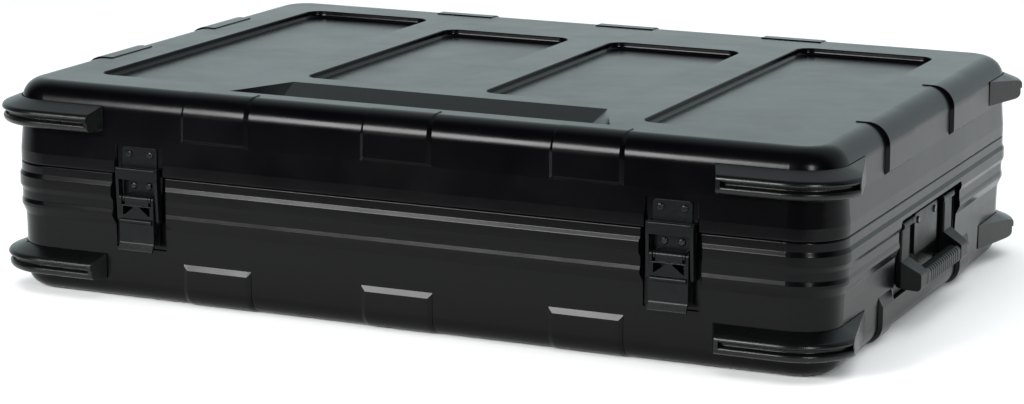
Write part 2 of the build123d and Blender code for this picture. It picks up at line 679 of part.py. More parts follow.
def latch_keeper():
    """Steel catch riveted to the lid, with a flat ledge for the claw."""
    bottom = LID_BOTTOM + SIDE_GAP / 2
    half = (-LATCH_PLATE_HALF, LATCH_PLATE_HALF)
    plate = block(half, (0, KEEPER_THICKNESS), (bottom, KEEPER_TOP), 0)
    corners = plate.edges().filter_by(Axis.Y).sort_by(Axis.Z)[-2:]
    plate = fillet(corners, 3)
    ledge = block((-LATCH_PLATE_HALF + 0.5, LATCH_PLATE_HALF - 0.5), (0, KEEPER_LEDGE_REACH),
                  (bottom, bottom + KEEPER_THICKNESS))
    keeper = plate + ledge
    for hole in rivet_holes(keeper_rivet_places(), -1):
        keeper -= hole
    return keeper


def hinge_spans():
    """Knuckle spans along the hinge, with the owner of each."""
    pitch = 2 * HINGE_BARREL_HALF / HINGE_KNUCKLES
    spans = []
    for index in range(HINGE_KNUCKLES):
        start = -HINGE_BARREL_HALF + index * pitch + KNUCKLE_GAP / 2
        owner = "base" if index % 2 == 0 else "lid"
        spans.append((owner, start, start + pitch - KNUCKLE_GAP))
    return spans


def hinge_leaf(owner):
    """One hinge leaf with its knuckles; the base leaf also has two stop fins."""
    way = -1 if owner == "base" else 1
    near = HINGE_AXIS_HEIGHT + way * LEAF_EDGE_FROM_AXIS
    far = HINGE_AXIS_HEIGHT + way * (BASE_LEAF_DROP if owner == "base" else LID_LEAF_RISE)
    out_face = HINGE_SEAT + HINGE_LEAF
    heights = (min(near, far), max(near, far))
    leaf = block((-HINGE_HALF, HINGE_HALF), (HINGE_SEAT, out_face), heights)
    for name, start, end in hinge_spans():
        if name != owner:
            continue
        leaf += rod((start, HINGE_AXIS_OUT, HINGE_AXIS_HEIGHT), (end, HINGE_AXIS_OUT, HINGE_AXIS_HEIGHT),
                    HINGE_BARREL_RADIUS)
        reach = sorted((near, HINGE_AXIS_HEIGHT + way * 0.35))
        leaf += block((start, end), (HINGE_SEAT, HINGE_AXIS_OUT), reach)
    if owner == "base":
        leaf += stop_fin(HINGE_BARREL_HALF + 1) + stop_fin(-HINGE_BARREL_HALF - 1 - STOP_FIN)
    bore = HINGE_PIN_RADIUS + PIN_GAP
    leaf -= rod((-HINGE_HALF - 5, HINGE_AXIS_OUT, HINGE_AXIS_HEIGHT),
                (HINGE_HALF + 5, HINGE_AXIS_OUT, HINGE_AXIS_HEIGHT), bore)
    for hole in rivet_holes(hinge_rivet_places(hinge_rivet_height(owner)), 0):
        leaf -= hole
    return leaf


def stop_fin(start):
    """Fin on the base leaf whose top edge stops the lid leaf's outer face."""
    face = HINGE_SEAT + HINGE_LEAF - HINGE_AXIS_OUT
    angle = math.radians(STOP_ANGLE)

    def stop_height(out):
        along = (out - face * math.cos(angle)) / math.sin(angle)
        return -face * math.sin(angle) + along * math.cos(angle) - STOP_GAP

    section = profile([
        (HINGE_AXIS_OUT + face - 0.5, HINGE_AXIS_HEIGHT - STOP_FIN_FOOT, 0),
        (HINGE_AXIS_OUT + face, HINGE_AXIS_HEIGHT - STOP_FIN_FOOT, 0),
        (HINGE_AXIS_OUT + STOP_FIN_REACH, HINGE_AXIS_HEIGHT - 3, 1),
        (HINGE_AXIS_OUT + STOP_FIN_REACH, HINGE_AXIS_HEIGHT + stop_height(STOP_FIN_REACH), 0),
        (HINGE_AXIS_OUT + LEAF_EDGE_FROM_AXIS, HINGE_AXIS_HEIGHT + stop_height(LEAF_EDGE_FROM_AXIS), 0),
        (HINGE_AXIS_OUT + face + 1, HINGE_AXIS_HEIGHT - 0.5, 0),
        (HINGE_AXIS_OUT + face - 0.5, HINGE_AXIS_HEIGHT - LEAF_EDGE_FROM_AXIS, 0),
    ])
    return along_wall(section, start, start + STOP_FIN)


def hinge_rivet_height(owner):
    """Height of a leaf's row of rivets."""
    if owner == "base":
        return HINGE_AXIS_HEIGHT - BASE_HINGE_RIVET_DROP
    return HINGE_AXIS_HEIGHT + LID_HINGE_RIVET_RISE


def hinge_pin():
    """Pin through all knuckles of a hinge, with a small head at each end."""
    ends = HINGE_BARREL_HALF
    return rod((-ends, HINGE_AXIS_OUT, HINGE_AXIS_HEIGHT), (ends, HINGE_AXIS_OUT, HINGE_AXIS_HEIGHT),
               HINGE_PIN_RADIUS)


def handle_plate():
    """Backing plate in the end recess, with a frame, a centre panel and ears for the pins."""
    whole = (-HANDLE_HALF, HANDLE_HALF)
    heights = (HANDLE_BOTTOM, HANDLE_TOP)
    face = HANDLE_PLATE_FACE
    frame_out = HANDLE_SEAT + HANDLE_FRAME_HEIGHT
    plate = block(whole, (HANDLE_SEAT, frame_out), heights, 5)
    inner = HANDLE_FRAME_WIDTH
    tray = block((-HANDLE_HALF + inner, HANDLE_HALF - inner), (face, frame_out + 5),
                 (HANDLE_BOTTOM - 1, HANDLE_TOP - inner))
    plate -= tray
    panel_half = (-HANDLE_PANEL_HALF, HANDLE_PANEL_HALF)
    panel_heights = (HANDLE_PANEL_BOTTOM, HANDLE_PANEL_TOP)
    panel = block(panel_half, (HANDLE_SEAT, face + HANDLE_PANEL_HEIGHT), panel_heights, 3)
    plate += panel
    knuckle = HANDLE_KNUCKLE_RADIUS
    ear_section = profile([
        (HANDLE_SEAT, HANDLE_PIVOT_HEIGHT - knuckle, 0),
        (HANDLE_PIVOT_OUT + knuckle, HANDLE_PIVOT_HEIGHT - knuckle, knuckle - 0.5),
        (HANDLE_PIVOT_OUT + knuckle, HANDLE_PIVOT_HEIGHT + knuckle, knuckle - 0.5),
        (HANDLE_SEAT, HANDLE_PIVOT_HEIGHT + knuckle, 0),
    ])
    ear = along_wall(ear_section, HANDLE_EAR_START, HANDLE_EAR_END)
    plate = plate + ear + mirror(ear, about=Plane.YZ)
    plate -= handle_bore()
    for hole in rivet_holes(handle_rivet_places(), HANDLE_SEAT - 1):
        plate -= hole
    return plate


def handle_bore():
    """Bore for the two handle pins."""
    reach = HANDLE_ARM_END - 3
    bore = rod((HANDLE_EAR_START + 1, HANDLE_PIVOT_OUT, HANDLE_PIVOT_HEIGHT),
               (reach, HANDLE_PIVOT_OUT, HANDLE_PIVOT_HEIGHT), HANDLE_PIN_RADIUS + PIN_GAP)
    return bore + mirror(bore, about=Plane.YZ)


def handle_pins():
    """Two pins on which the bail swings."""
    start, end = HANDLE_EAR_START + 1.2, HANDLE_ARM_END - 3.2
    pin = rod((start, HANDLE_PIVOT_OUT, HANDLE_PIVOT_HEIGHT), (end, HANDLE_PIVOT_OUT, HANDLE_PIVOT_HEIGHT),
              HANDLE_PIN_RADIUS)
    return [pin, mirror(pin, about=Plane.YZ)]


def grip_section():
    """Rounded section of the grip."""
    half_out = GRIP_THICKNESS / 2
    half_up = GRIP_HEIGHT / 2
    out, up = GRIP_MIDDLE_OUT, GRIP_MIDDLE_HEIGHT
    return profile([
        (out - half_out, up - half_up, GRIP_ROUNDING),
        (out + half_out, up - half_up, GRIP_ROUNDING),
        (out + half_out, up + half_up, GRIP_ROUNDING),
        (out - half_out, up + half_up, GRIP_ROUNDING),
    ])


def bail_block():
    """End block of the bail: it leans out from the arm to the grip, its outer corner cut slanting."""
    arm_outer = HANDLE_ARM_INNER + HANDLE_ARM_THICKNESS
    inner = GRIP_MIDDLE_OUT - GRIP_THICKNESS / 2
    outer = GRIP_MIDDLE_OUT + GRIP_THICKNESS / 2
    middle = GRIP_MIDDLE_HEIGHT
    half = GRIP_HEIGHT / 2
    section = profile([
        (HANDLE_ARM_INNER, middle + BAIL_BLOCK_RISE, 0),
        (arm_outer, middle + BAIL_BLOCK_RISE, 3),
        (outer, middle + half, 4),
        (outer, middle - half, 4),
        (inner, middle - half + 2, 4),
        (HANDLE_ARM_INNER, middle - half / 2, 2),
    ])
    solid = along_wall(section, HANDLE_ARM_START, HANDLE_ARM_END)
    limit = profile([
        (HANDLE_ARM_START - 1, HANDLE_ARM_INNER - 1, 0),
        (HANDLE_ARM_END, HANDLE_ARM_INNER - 1, 0),
        (HANDLE_ARM_END, arm_outer, 3),
        (HANDLE_ARM_END - BAIL_BLOCK_SLANT, outer + 1, 3),
        (HANDLE_ARM_START - 1, outer + 1, 0),
    ])
    return solid & upright(limit, middle - GRIP_HEIGHT, middle + 2 * BAIL_BLOCK_RISE)


def handle_bail():
    """Swinging bail: two flat arms, an end block on each and a core bar through the grip."""
    arm_limits = (HANDLE_ARM_START, HANDLE_ARM_END)
    arm_outward = (HANDLE_ARM_INNER, HANDLE_ARM_INNER + HANDLE_ARM_THICKNESS)
    arm = block(arm_limits, arm_outward, (GRIP_MIDDLE_HEIGHT, HANDLE_PIVOT_HEIGHT))
    outer_edges = arm.edges().filter_by(Axis.Z).group_by(Axis.Y)[-1]
    arm = fillet(outer_edges, HANDLE_ARM_ROUNDING)
    arm += rod((HANDLE_ARM_START, HANDLE_PIVOT_OUT, HANDLE_PIVOT_HEIGHT),
               (HANDLE_ARM_END, HANDLE_PIVOT_OUT, HANDLE_PIVOT_HEIGHT), HANDLE_KNUCKLE_RADIUS)
    arm += bail_block()
    core = rod((-HANDLE_ARM_START - 1, GRIP_MIDDLE_OUT, GRIP_MIDDLE_HEIGHT),
               (HANDLE_ARM_START + 1, GRIP_MIDDLE_OUT, GRIP_MIDDLE_HEIGHT), GRIP_CORE_RADIUS)
    bail = arm + mirror(arm, about=Plane.YZ) + core
    return bail - handle_bore()


def handle_grip():
    """Soft sleeve round the bail's core bar."""
    half = HANDLE_ARM_START - GRIP_END_GAP
    grip = along_wall(grip_section(), -half, half)
    rims = grip.faces().sort_by(Axis.X)[0].edges() + grip.faces().sort_by(Axis.X)[-1].edges()
    grip = fillet(rims, GRIP_RIM_ROUNDING)
    return grip - rod((-half - 1, GRIP_MIDDLE_OUT, GRIP_MIDDLE_HEIGHT),
                      (half + 1, GRIP_MIDDLE_OUT, GRIP_MIDDLE_HEIGHT), GRIP_CORE_RADIUS + SCREW_HOLE_GAP)


def bumper_seat(level):
    """Outward place of a bumper's inner face."""
    wall_face = LID_WALL_REACH if level == "lid" else 0.0
    return wall_face + BUMPER_SEAT_GAP


def bumper_arms(face, front_arm, side_arm):
    """Runs a bumper section along the front, round the right corner and along the side."""
    straight_front = CASE_WIDTH / 2 - CORNER_RADIUS
    straight_side = CASE_DEPTH / 2 - CORNER_RADIUS
    front = on_wall(along_wall(face, -straight_front, -straight_front + front_arm - CORNER_RADIUS), "front")
    side_end = straight_side - (side_arm - CORNER_RADIUS)
    side = on_wall(along_wall(face, side_end, straight_side), "right")
    plane = Plane(origin=(straight_front, -straight_side, 0), x_dir=(0, -1, 0), z_dir=(-1, 0, 0))
    axis = Axis((straight_front, -straight_side, 0), (0, 0, 1))
    corner = revolve(plane * (Pos(CORNER_RADIUS, 0) * face), axis=axis, revolution_arc=90)
    return front + corner + side


def corner_bumper(level, side_arm):
    """Front right bumper: a rounded block with two ridges and bevelled ends."""
    middle = LID_BUMPER_MIDDLE if level == "lid" else BASE_BUMPER_MIDDLE
    reach = LID_BUMPER_REACH if level == "lid" else BASE_BUMPER_REACH
    seat = bumper_seat(level)
    lower_reach = reach - BUMPER_LOWER_RIDGE_SET_BACK
    bottom = middle - BUMPER_DROP
    shoulder = middle + BUMPER_SHOULDER_RISE
    groove_middle = middle - BUMPER_GROOVE_DROP
    section = profile([
        (seat, bottom, 0),
        (lower_reach, bottom, BUMPER_ROUNDING),
        (lower_reach, groove_middle, 0),
        (reach, groove_middle, 0),
        (reach, shoulder, BUMPER_ROUNDING),
        (seat, middle + BUMPER_RISE, 0),
    ])
    groove_half = BUMPER_GROOVE_WIDTH / 2
    floor = reach - BUMPER_GROOVE_DEPTH
    ridge = BUMPER_RIDGE_ROUNDING
    groove = profile([
        (floor, groove_middle - groove_half, 1.2),
        (lower_reach, groove_middle - groove_half, ridge),
        (lower_reach, groove_middle - groove_half - ridge - 1, 0),
        (reach + ridge, groove_middle - groove_half - ridge - 1, 0),
        (reach + ridge, groove_middle + groove_half + ridge + 1, 0),
        (reach, groove_middle + groove_half + ridge + 1, 0),
        (reach, groove_middle + groove_half, ridge),
        (floor, groove_middle + groove_half, 1.2),
    ])
    bumper = bumper_arms(section, BUMPER_FRONT_ARM, side_arm)
    bumper &= end_trim(middle, side_arm, seat, reach, 0)
    hollow = bumper_arms(groove, BUMPER_FRONT_ARM, side_arm)
    bumper -= hollow & end_trim(middle, side_arm, seat, reach, BUMPER_GROOVE_STOP)
    for place in BUMPER_SCREW_PLACES:
        bore = rod((CASE_WIDTH / 2 - place, -CASE_DEPTH / 2, middle),
                   (CASE_WIDTH / 2 - place, -CASE_DEPTH / 2 - BUMPER_SCREW_DEPTH - 0.5, middle),
                   BUMPER_SCREW_RADIUS + SCREW_HOLE_GAP)
        bumper -= bore
    return bumper


def end_trim(middle, side_arm, seat, reach, stop):
    """Prism that bevels a bumper's front end and thins its side arm away from the corner."""
    x_face, y_face = CASE_WIDTH / 2, -CASE_DEPTH / 2
    over = 10.0
    beyond = (reach - seat + over) / (reach - seat)
    x_end = x_face - BUMPER_FRONT_ARM + stop
    y_end = y_face + side_arm - stop
    x_shift = BUMPER_FRONT_BEVEL * beyond
    y_shift = (side_arm - BUMPER_SIDE_FULL_REACH) * beyond
    outline = profile([
        (x_end, y_face + over, 0),
        (x_end, y_face - seat, 0),
        (x_end + x_shift, y_face - reach - over, 0),
        (x_face + reach + over, y_face - reach - over, 0),
        (x_face + reach + over, y_end - y_shift, 0),
        (x_face + seat, y_end, 0),
        (x_face - over, y_end, 0),
        (x_face - over, y_face + over, 0),
    ])
    return upright(outline, middle - 2 * BUMPER_DROP, middle + 2 * BUMPER_RISE)


def bumper_screw_places(level):
    """Wall, place along it and height of every bumper screw of one level."""
    middle = LID_BUMPER_MIDDLE if level == "lid" else BASE_BUMPER_MIDDLE
    return [
        (wall, side * (CASE_WIDTH / 2 - place), middle)
        for wall in ("front", "back")
        for side in (-1, 1)
        for place in BUMPER_SCREW_PLACES
    ]


def bumper_screws(level):
    """All bumper screws of one level as separate solids."""
    length = WALL + BUMPER_SCREW_DEPTH
    return [on_wall(screw(0, height, -WALL, length), wall, along)
            for wall, along, height in bumper_screw_places(level)]


def bumper_holes(level):
    """Wall holes for the bumper screws of one level."""
    radius = BUMPER_SCREW_RADIUS + SCREW_HOLE_GAP
    return [on_wall(rod((0, -WALL - 1, height), (0, 6, height), radius), wall, along)
            for wall, along, height in bumper_screw_places(level)]


def base_shell():
    """Moulded lower half of the case."""
    shell = all_round(base_section()) + shell_plate(0, WALL)
    for wall in ("front", "back"):
        for step in (-1, 0, 1):
            pad = base_pad(PAD_WIDTH, BASE_PAD_TOP, BASE_PAD_HEIGHT, BASE_PAD_END_DROP)
            shell += on_wall(pad, wall, step * PAD_SPACING)
    for wall in ("right", "left"):
        for side in (-1, 1):
            pad = base_pad(SIDE_BASE_PAD_WIDTH, SIDE_BASE_PAD_TOP, PAD_HEIGHT, PAD_END_DROP)
            shell += on_wall(pad, wall, side * SIDE_BASE_PAD_PLACE)
    boss_half = LATCH_POCKET_HALF + LATCH_BOSS_EDGE
    latch_boss = block((-boss_half, boss_half), (-LATCH_BOSS_DEPTH, -WALL / 2),
                       (LATCH_POCKET_BOTTOM - LATCH_BOSS_EDGE, PARTING_HEIGHT))
    latch_cut = pocket_mouth(LATCH_POCKET_HALF, LATCH_POCKET_FLOOR, LATCH_POCKET_BOTTOM, PARTING_HEIGHT + 20)
    for side in (-1, 1):
        shell += on_wall(latch_boss, "front", side * LATCH_PLACE)
        shell -= on_wall(latch_cut, "front", side * LATCH_PLACE)
        for hole in rivet_holes(plate_rivet_places(), -LATCH_BOSS_DEPTH - 1):
            shell -= on_wall(hole, "front", side * LATCH_PLACE)
    edge = HANDLE_SEAT_EDGE
    boss_edge = edge + HANDLE_BOSS_EDGE
    handle_boss = block((-HANDLE_HALF - boss_edge, HANDLE_HALF + boss_edge), (-HANDLE_BOSS_DEPTH, -WALL / 2),
                        (HANDLE_BOTTOM - boss_edge, HANDLE_TOP + boss_edge))
    handle_cut = block((-HANDLE_HALF - edge, HANDLE_HALF + edge), (HANDLE_SEAT, 30),
                       (HANDLE_BOTTOM - edge, HANDLE_TOP + edge), 6)
    for wall in ("right", "left"):
        shell += on_wall(handle_boss, wall)
        shell -= on_wall(handle_cut, wall)
        for hole in rivet_holes(handle_rivet_places(), -HANDLE_BOSS_DEPTH - 1):
            shell -= on_wall(hole, wall)
    seat_half = HINGE_HALF + HINGE_SEAT_EDGE
    seat_bottom = HINGE_AXIS_HEIGHT - BASE_LEAF_DROP - HINGE_SEAT_EDGE
    hinge_cut = block((-seat_half, seat_half), (HINGE_SEAT, 30), (seat_bottom, PARTING_HEIGHT + 10))
    for side in (-1, 1):
        shell -= on_wall(hinge_cut, "back", side * HINGE_PLACE)
        for hole in rivet_holes(hinge_rivet_places(hinge_rivet_height("base")), -WALL - 1):
            shell -= on_wall(hole, "back", side * HINGE_PLACE)
    for hole in bumper_holes("base"):
        shell -= hole
    return shell


def lid_shell():
    """Moulded lid of the case."""
    shell = all_round(lid_section()) + shell_plate(LID_CEILING, CASE_HEIGHT)
    for wall in ("front", "back"):
        for step in (-1, 0, 1):
            shell += on_wall(lid_pad(PAD_WIDTH), wall, step * PAD_SPACING)
    for wall in ("right", "left"):
        for side in (-1, 1):
            shell += on_wall(lid_pad(SIDE_PAD_WIDTH), wall, side * SIDE_PAD_PLACE)
    pockets = [(side * OUTER_POCKET_PLACE, 0, OUTER_POCKET_LENGTH) for side in (-1, 1)]
    pockets += [(side * INNER_POCKET_PLACE, INNER_POCKET_SHIFT, INNER_POCKET_LENGTH) for side in (-1, 1)]
    for across, back, length in pockets:
        shell += Pos(across, back, 0) * pocket_boss(length)
    shell += recess_boss()
    for across, back, length in pockets:
        shell -= Pos(across, back, 0) * pocket_cut(length)
    shell -= recess_cut()
    keeper_cut = pocket_mouth(KEEPER_POCKET_HALF, 0, PARTING_HEIGHT - 10, KEEPER_POCKET_TOP)
    for side in (-1, 1):
        shell -= on_wall(keeper_cut, "front", side * LATCH_PLACE)
        for hole in rivet_holes(keeper_rivet_places(), -WALL - 1):
            shell -= on_wall(hole, "front", side * LATCH_PLACE)
    seat_half = HINGE_HALF + HINGE_SEAT_EDGE
    seat_top = HINGE_AXIS_HEIGHT + LID_LEAF_RISE + HINGE_SEAT_EDGE
    hinge_cut = block((-seat_half, seat_half), (HINGE_SEAT, 30), (PARTING_HEIGHT - 10, seat_top))
    for side in (-1, 1):
        shell -= on_wall(hinge_cut, "back", side * HINGE_PLACE)
        for hole in rivet_holes(hinge_rivet_places(hinge_rivet_height("lid")), -WALL - 1):
            shell -= on_wall(hole, "back", side * HINGE_PLACE)
    for hole in bumper_holes("lid"):
        shell -= hole
    return shell


def gasket():
    """Soft seal ring under the lid's ledge."""
    section = profile([
        (TONGUE_INNER - 0.5, LID_LEDGE - GASKET_THICKNESS, 0.8),
        (LID_INNER_RIM - GASKET_SIDE_GAP, LID_LEDGE - GASKET_THICKNESS, 0.8),
        (LID_INNER_RIM - GASKET_SIDE_GAP, LID_LEDGE, 0),
        (TONGUE_INNER - 0.5, LID_LEDGE, 0),
    ])
    return all_round(section)


def foam_slab(bottom, top):
    """Foam slab that fills the inside of the case between two heights."""
    width = CASE_WIDTH - 2 * FOAM_FROM_FACE
    depth = CASE_DEPTH - 2 * FOAM_FROM_FACE
    outline = RectangleRounded(width, depth, CORNER_RADIUS - FOAM_FROM_FACE)
    return extrude(Pos(0, 0, bottom) * outline, amount=top - bottom)


def foam_floor():
    """Foam slab on the case floor with its lower edge cut back for the rounded corner."""
    slab = foam_slab(WALL, WALL + FOAM_FLOOR)
    return chamfer(slab.faces().sort_by(Axis.Z)[0].edges(), INNER_ROUNDING - FOAM_CORNER_OVERLAP)


def foam_pad(bottom, top):
    """Foam slab under the lid's top, relieved for the boss of the bare recess."""
    return foam_slab(bottom, top) - recess_boss()


def foam_strips(bottom, top):
    """Four foam strips round the equipment space: front and back run full width, the sides between them."""
    slab = foam_slab(bottom, top)
    half_width, half_depth = CASE_WIDTH / 2, CASE_DEPTH / 2
    height = (bottom, top)
    front = slab & block((-half_width, half_width), (-half_depth, -FOAM_INNER_HALF_DEPTH), height)
    depth = (-FOAM_INNER_HALF_DEPTH, FOAM_INNER_HALF_DEPTH)
    right = slab & block((FOAM_INNER_HALF_WIDTH, half_width), depth, height)
    return {
        "front": front,
        "back": mirror(front, about=Plane.XZ),
        "right": right,
        "left": mirror(right, about=Plane.YZ),
    }


def write(name, pieces):
    """Saves one piece, or a group of separate solids, under its name."""
    if isinstance(pieces, list):
        pieces = Compound(children=[solid for piece in pieces for solid in piece.solids()])
    export_step(pieces, f"parts/{name}.step")


def write_shells():
    """Shells, gasket and foam."""
    foam_top = PARTING_HEIGHT - FOAM_BASE_TOP_BELOW_RIM
    lid_foam_bottom = POCKET_BOSS_BOTTOM - LID_FOAM_THICKNESS
    write("base_shell", base_shell())
    write("lid_shell", lid_shell())
    write("rim_gasket", gasket())
    write("base_foam_floor", foam_floor())
    write("lid_foam_pad", foam_pad(lid_foam_bottom, POCKET_BOSS_BOTTOM))
    for side, strip in foam_strips(WALL + FOAM_FLOOR, foam_top).items():
        write(f"base_foam_{side}", strip)
    for side, strip in foam_strips(LID_FOAM_RING_BOTTOM, lid_foam_bottom).items():
        write(f"lid_foam_{side}", strip)


def write_bumpers():
    """Eight corner bumpers and their screws."""
    for level, side_arm in (("lid", LID_BUMPER_SIDE_ARM), ("base", BASE_BUMPER_SIDE_ARM)):
        height = "top" if level == "lid" else "bottom"
        front = corner_bumper(level, side_arm)
        back = mirror(front, about=Plane.XZ)
        write(f"{height}_bumper_front_right", front)
        write(f"{height}_bumper_front_left", mirror(front, about=Plane.YZ))
        write(f"{height}_bumper_back_right", back)
        write(f"{height}_bumper_back_left", mirror(back, about=Plane.YZ))
        write(f"{height}_bumper_screws", bumper_screws(level))


def write_latches():
    """Two draw latches with their keepers, pins and rivets."""
    plate_face = LATCH_POCKET_FLOOR + LATCH_STEEL
    lever_pin = rod((-LATCH_PLATE_HALF, LEVER_PIVOT_OUT, LEVER_PIVOT_HEIGHT),
                    (LATCH_PLATE_HALF, LEVER_PIVOT_OUT, LEVER_PIVOT_HEIGHT), LEVER_PIN_RADIUS)
    claw_pin = rod((-CLAW_HALF, CLAW_PIVOT_OUT, CLAW_PIVOT_HEIGHT),
                   (CLAW_HALF, CLAW_PIVOT_OUT, CLAW_PIVOT_HEIGHT), CLAW_PIN_RADIUS)
    plate_rivets = [rivet(along, height, -LATCH_BOSS_DEPTH, plate_face)
                    for along, height in plate_rivet_places()]
    keeper_rivets = [rivet(along, height, -WALL, KEEPER_THICKNESS)
                     for along, height in keeper_rivet_places()]
    pieces = {
        "latch_plate": latch_plate(),
        "latch_lever": latch_lever(),
        "latch_claw": latch_claw(),
        "latch_keeper": latch_keeper(),
        "lever_pin": lever_pin,
        "claw_pin": claw_pin,
        "latch_plate_rivets": plate_rivets,
        "keeper_rivets": keeper_rivets,
    }
    write_pairs(pieces, "front", LATCH_PLACE)


def write_hinges():
    """Two stop hinges with their pins and rivets."""
    leaf_face = HINGE_SEAT + HINGE_LEAF
    pieces = {
        "hinge_base_leaf": hinge_leaf("base"),
        "hinge_lid_leaf": hinge_leaf("lid"),
        "hinge_pin": hinge_pin(),
    }
    for owner in ("base", "lid"):
        places = hinge_rivet_places(hinge_rivet_height(owner))
        pieces[f"hinge_{owner}_rivets"] = [rivet(along, height, -WALL, leaf_face)
                                           for along, height in places]
    write_pairs(pieces, "back", HINGE_PLACE)


def write_pairs(pieces, wall, place):
    """Writes each piece once on the left and once on the right of a wall."""
    for side, name in ((-1, "left"), (1, "right")):
        along = -side * place if wall == "front" else side * place
        for piece, shape in pieces.items():
            solids = shape if isinstance(shape, list) else [shape]
            write(f"{piece}_{name}", [on_wall(solid, wall, along) for solid in solids])


def write_handles():
    """Two fold-down handles with their plates, grips, pins and rivets."""
    rivets = [rivet(along, height, -HANDLE_BOSS_DEPTH, HANDLE_PLATE_FACE + panel_rise(height))
              for along, height in handle_rivet_places()]
    pieces = {
        "handle_plate": [handle_plate()],
        "handle_bail": [handle_bail()],
        "handle_grip": [handle_grip()],
        "handle_pins": handle_pins(),
        "handle_rivets": rivets,
    }
    for wall in ("left", "right"):
        for piece, solids in pieces.items():
            write(f"{piece}_{wall}", [on_wall(solid, wall) for solid in solids])


def panel_rise(height):
    """How far the plate's face stands above its floor where a rivet sits."""
    if height > HANDLE_PANEL_BOTTOM:
        return HANDLE_PANEL_HEIGHT
    return 0.0


write_shells()
write_bumpers()
write_latches()
write_hinges()
write_handles()
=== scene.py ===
import math

import bmesh
import bpy
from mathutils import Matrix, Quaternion, Vector, noise


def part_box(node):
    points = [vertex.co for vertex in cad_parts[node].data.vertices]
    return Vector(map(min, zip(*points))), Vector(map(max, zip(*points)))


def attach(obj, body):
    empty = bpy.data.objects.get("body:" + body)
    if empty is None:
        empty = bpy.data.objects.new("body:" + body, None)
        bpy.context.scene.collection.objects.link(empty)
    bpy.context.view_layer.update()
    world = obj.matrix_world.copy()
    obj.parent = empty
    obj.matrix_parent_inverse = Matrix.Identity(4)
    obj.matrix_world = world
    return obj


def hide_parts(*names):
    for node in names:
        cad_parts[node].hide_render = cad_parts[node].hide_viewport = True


bl_info = {
    "name": "Hard Case Finish",
    "version": (1, 0, 0),
    "blender": (4, 5, 0),
    "location": "View3D > Sidebar > Hard Case",
    "description": "Finishes the surfaces, linings and grips of a moulded equipment case",
    "category": "Object",
}

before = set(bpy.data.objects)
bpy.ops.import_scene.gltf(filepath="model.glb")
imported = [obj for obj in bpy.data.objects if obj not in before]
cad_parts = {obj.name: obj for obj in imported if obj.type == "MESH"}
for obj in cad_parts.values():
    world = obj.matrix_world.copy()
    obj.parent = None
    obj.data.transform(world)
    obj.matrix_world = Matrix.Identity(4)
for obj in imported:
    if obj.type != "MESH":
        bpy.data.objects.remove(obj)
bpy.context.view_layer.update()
MM = 0.001
SIDES = ("left", "right")
CORNERS = ("front_left", "front_right", "back_left", "back_right")

# Faces that meet at more than this angle keep a hard edge
CAD_SHARP_ANGLE = math.radians(32)
PIECE_SHARP_ANGLE = math.radians(40)

# Corner radii of the foam slabs and of the seal where they follow the shells' rounded corners
SLAB_CORNER = 30 * MM
SEAL_CORNER = 35 * MM

# The lid's bare recess stands this much lower inside than the rest of the lid, over this stretch
RECESS_HALF_LENGTH = 206 * MM
RECESS_BACK = -180 * MM
RECESS_RELIEF = 3.2 * MM

# Half width of the floor and its reach behind the case, in metres
FLOOR_HALF = 3.2
FLOOR_BACK = 3.6

# Camera fitted to the photo: sensor width in millimetres, place in metres, shift as a share of the width
SENSOR_WIDTH = 36.0
CAMERA_PLACE = (1.2319, -2.8296, 0.7396)
CAMERA_SHIFT = (2.08 / 1024, -22.57 / 1024)


def linear(code):
    """Linear colour from an sRGB hex code."""
    parts = [int(code[place:place + 2], 16) / 255 for place in (1, 3, 5)]
    return tuple(part / 12.92 if part <= 0.04045 else ((part + 0.055) / 1.055) ** 2.4 for part in parts)


def colour_property(name, description, code):
    """Colour property whose default is an sRGB hex code."""
    return bpy.props.FloatVectorProperty(
        name=name, description=description, subtype="COLOR", size=3, min=0, max=1, default=linear(code))


def length_property(name, description, default):
    """Length property in metres."""
    return bpy.props.FloatProperty(
        name=name, description=description, unit="LENGTH", min=0, precision=5, default=default)


def share_property(name, description, default):
    """Property between nothing and full."""
    return bpy.props.FloatProperty(
        name=name, description=description, subtype="FACTOR", min=0, max=1, default=default)


class ShellSettings(bpy.types.PropertyGroup):
    """Looks of the two moulded shells."""
    colour: colour_property("Colour", "Colour of the black polyethylene", "#030304")
    roughness: share_property("Roughness", "Roughness of the moulded face", 0.2)
    grain: length_property("Grain", "Width of one pebble of the moulded grain", 1.6 * MM)
    swell: length_property("Swell", "Width of the soft waves left by the mould", 30 * MM)
    scuff: share_property("Scuff", "How much the lowest edges are scuffed", 0.2)
    shine: share_property("Shine", "Strength of the reflection, 0.5 for a clear plastic skin", 0.12)


class HardwareSettings(bpy.types.PropertyGroup):
    """Looks of bumpers, latches, hinges, fasteners and handles."""
    bumper_colour: colour_property("Bumper colour", "Colour of the nylon bumpers", "#060707")
    steel_colour: colour_property("Steel colour", "Colour of the black coated steel", "#08090a")
    fastener_colour: colour_property("Fastener colour", "Colour of the plated rivets and pins", "#2e3133")
    shine: share_property("Shine", "Strength of the moulded pieces' reflection, 0.5 for a clear skin", 0.25)
    handle_colour: colour_property("Handle colour", "Colour of the glass filled nylon", "#060707")
    grip_colour: colour_property("Grip colour", "Colour of the soft grip", "#141617")
    rib_pitch: length_property("Rib pitch", "Spacing of the ribs on the grips", 7 * MM)
    rib_depth: length_property("Rib depth", "Depth of the grooves between ribs", 0.7 * MM)


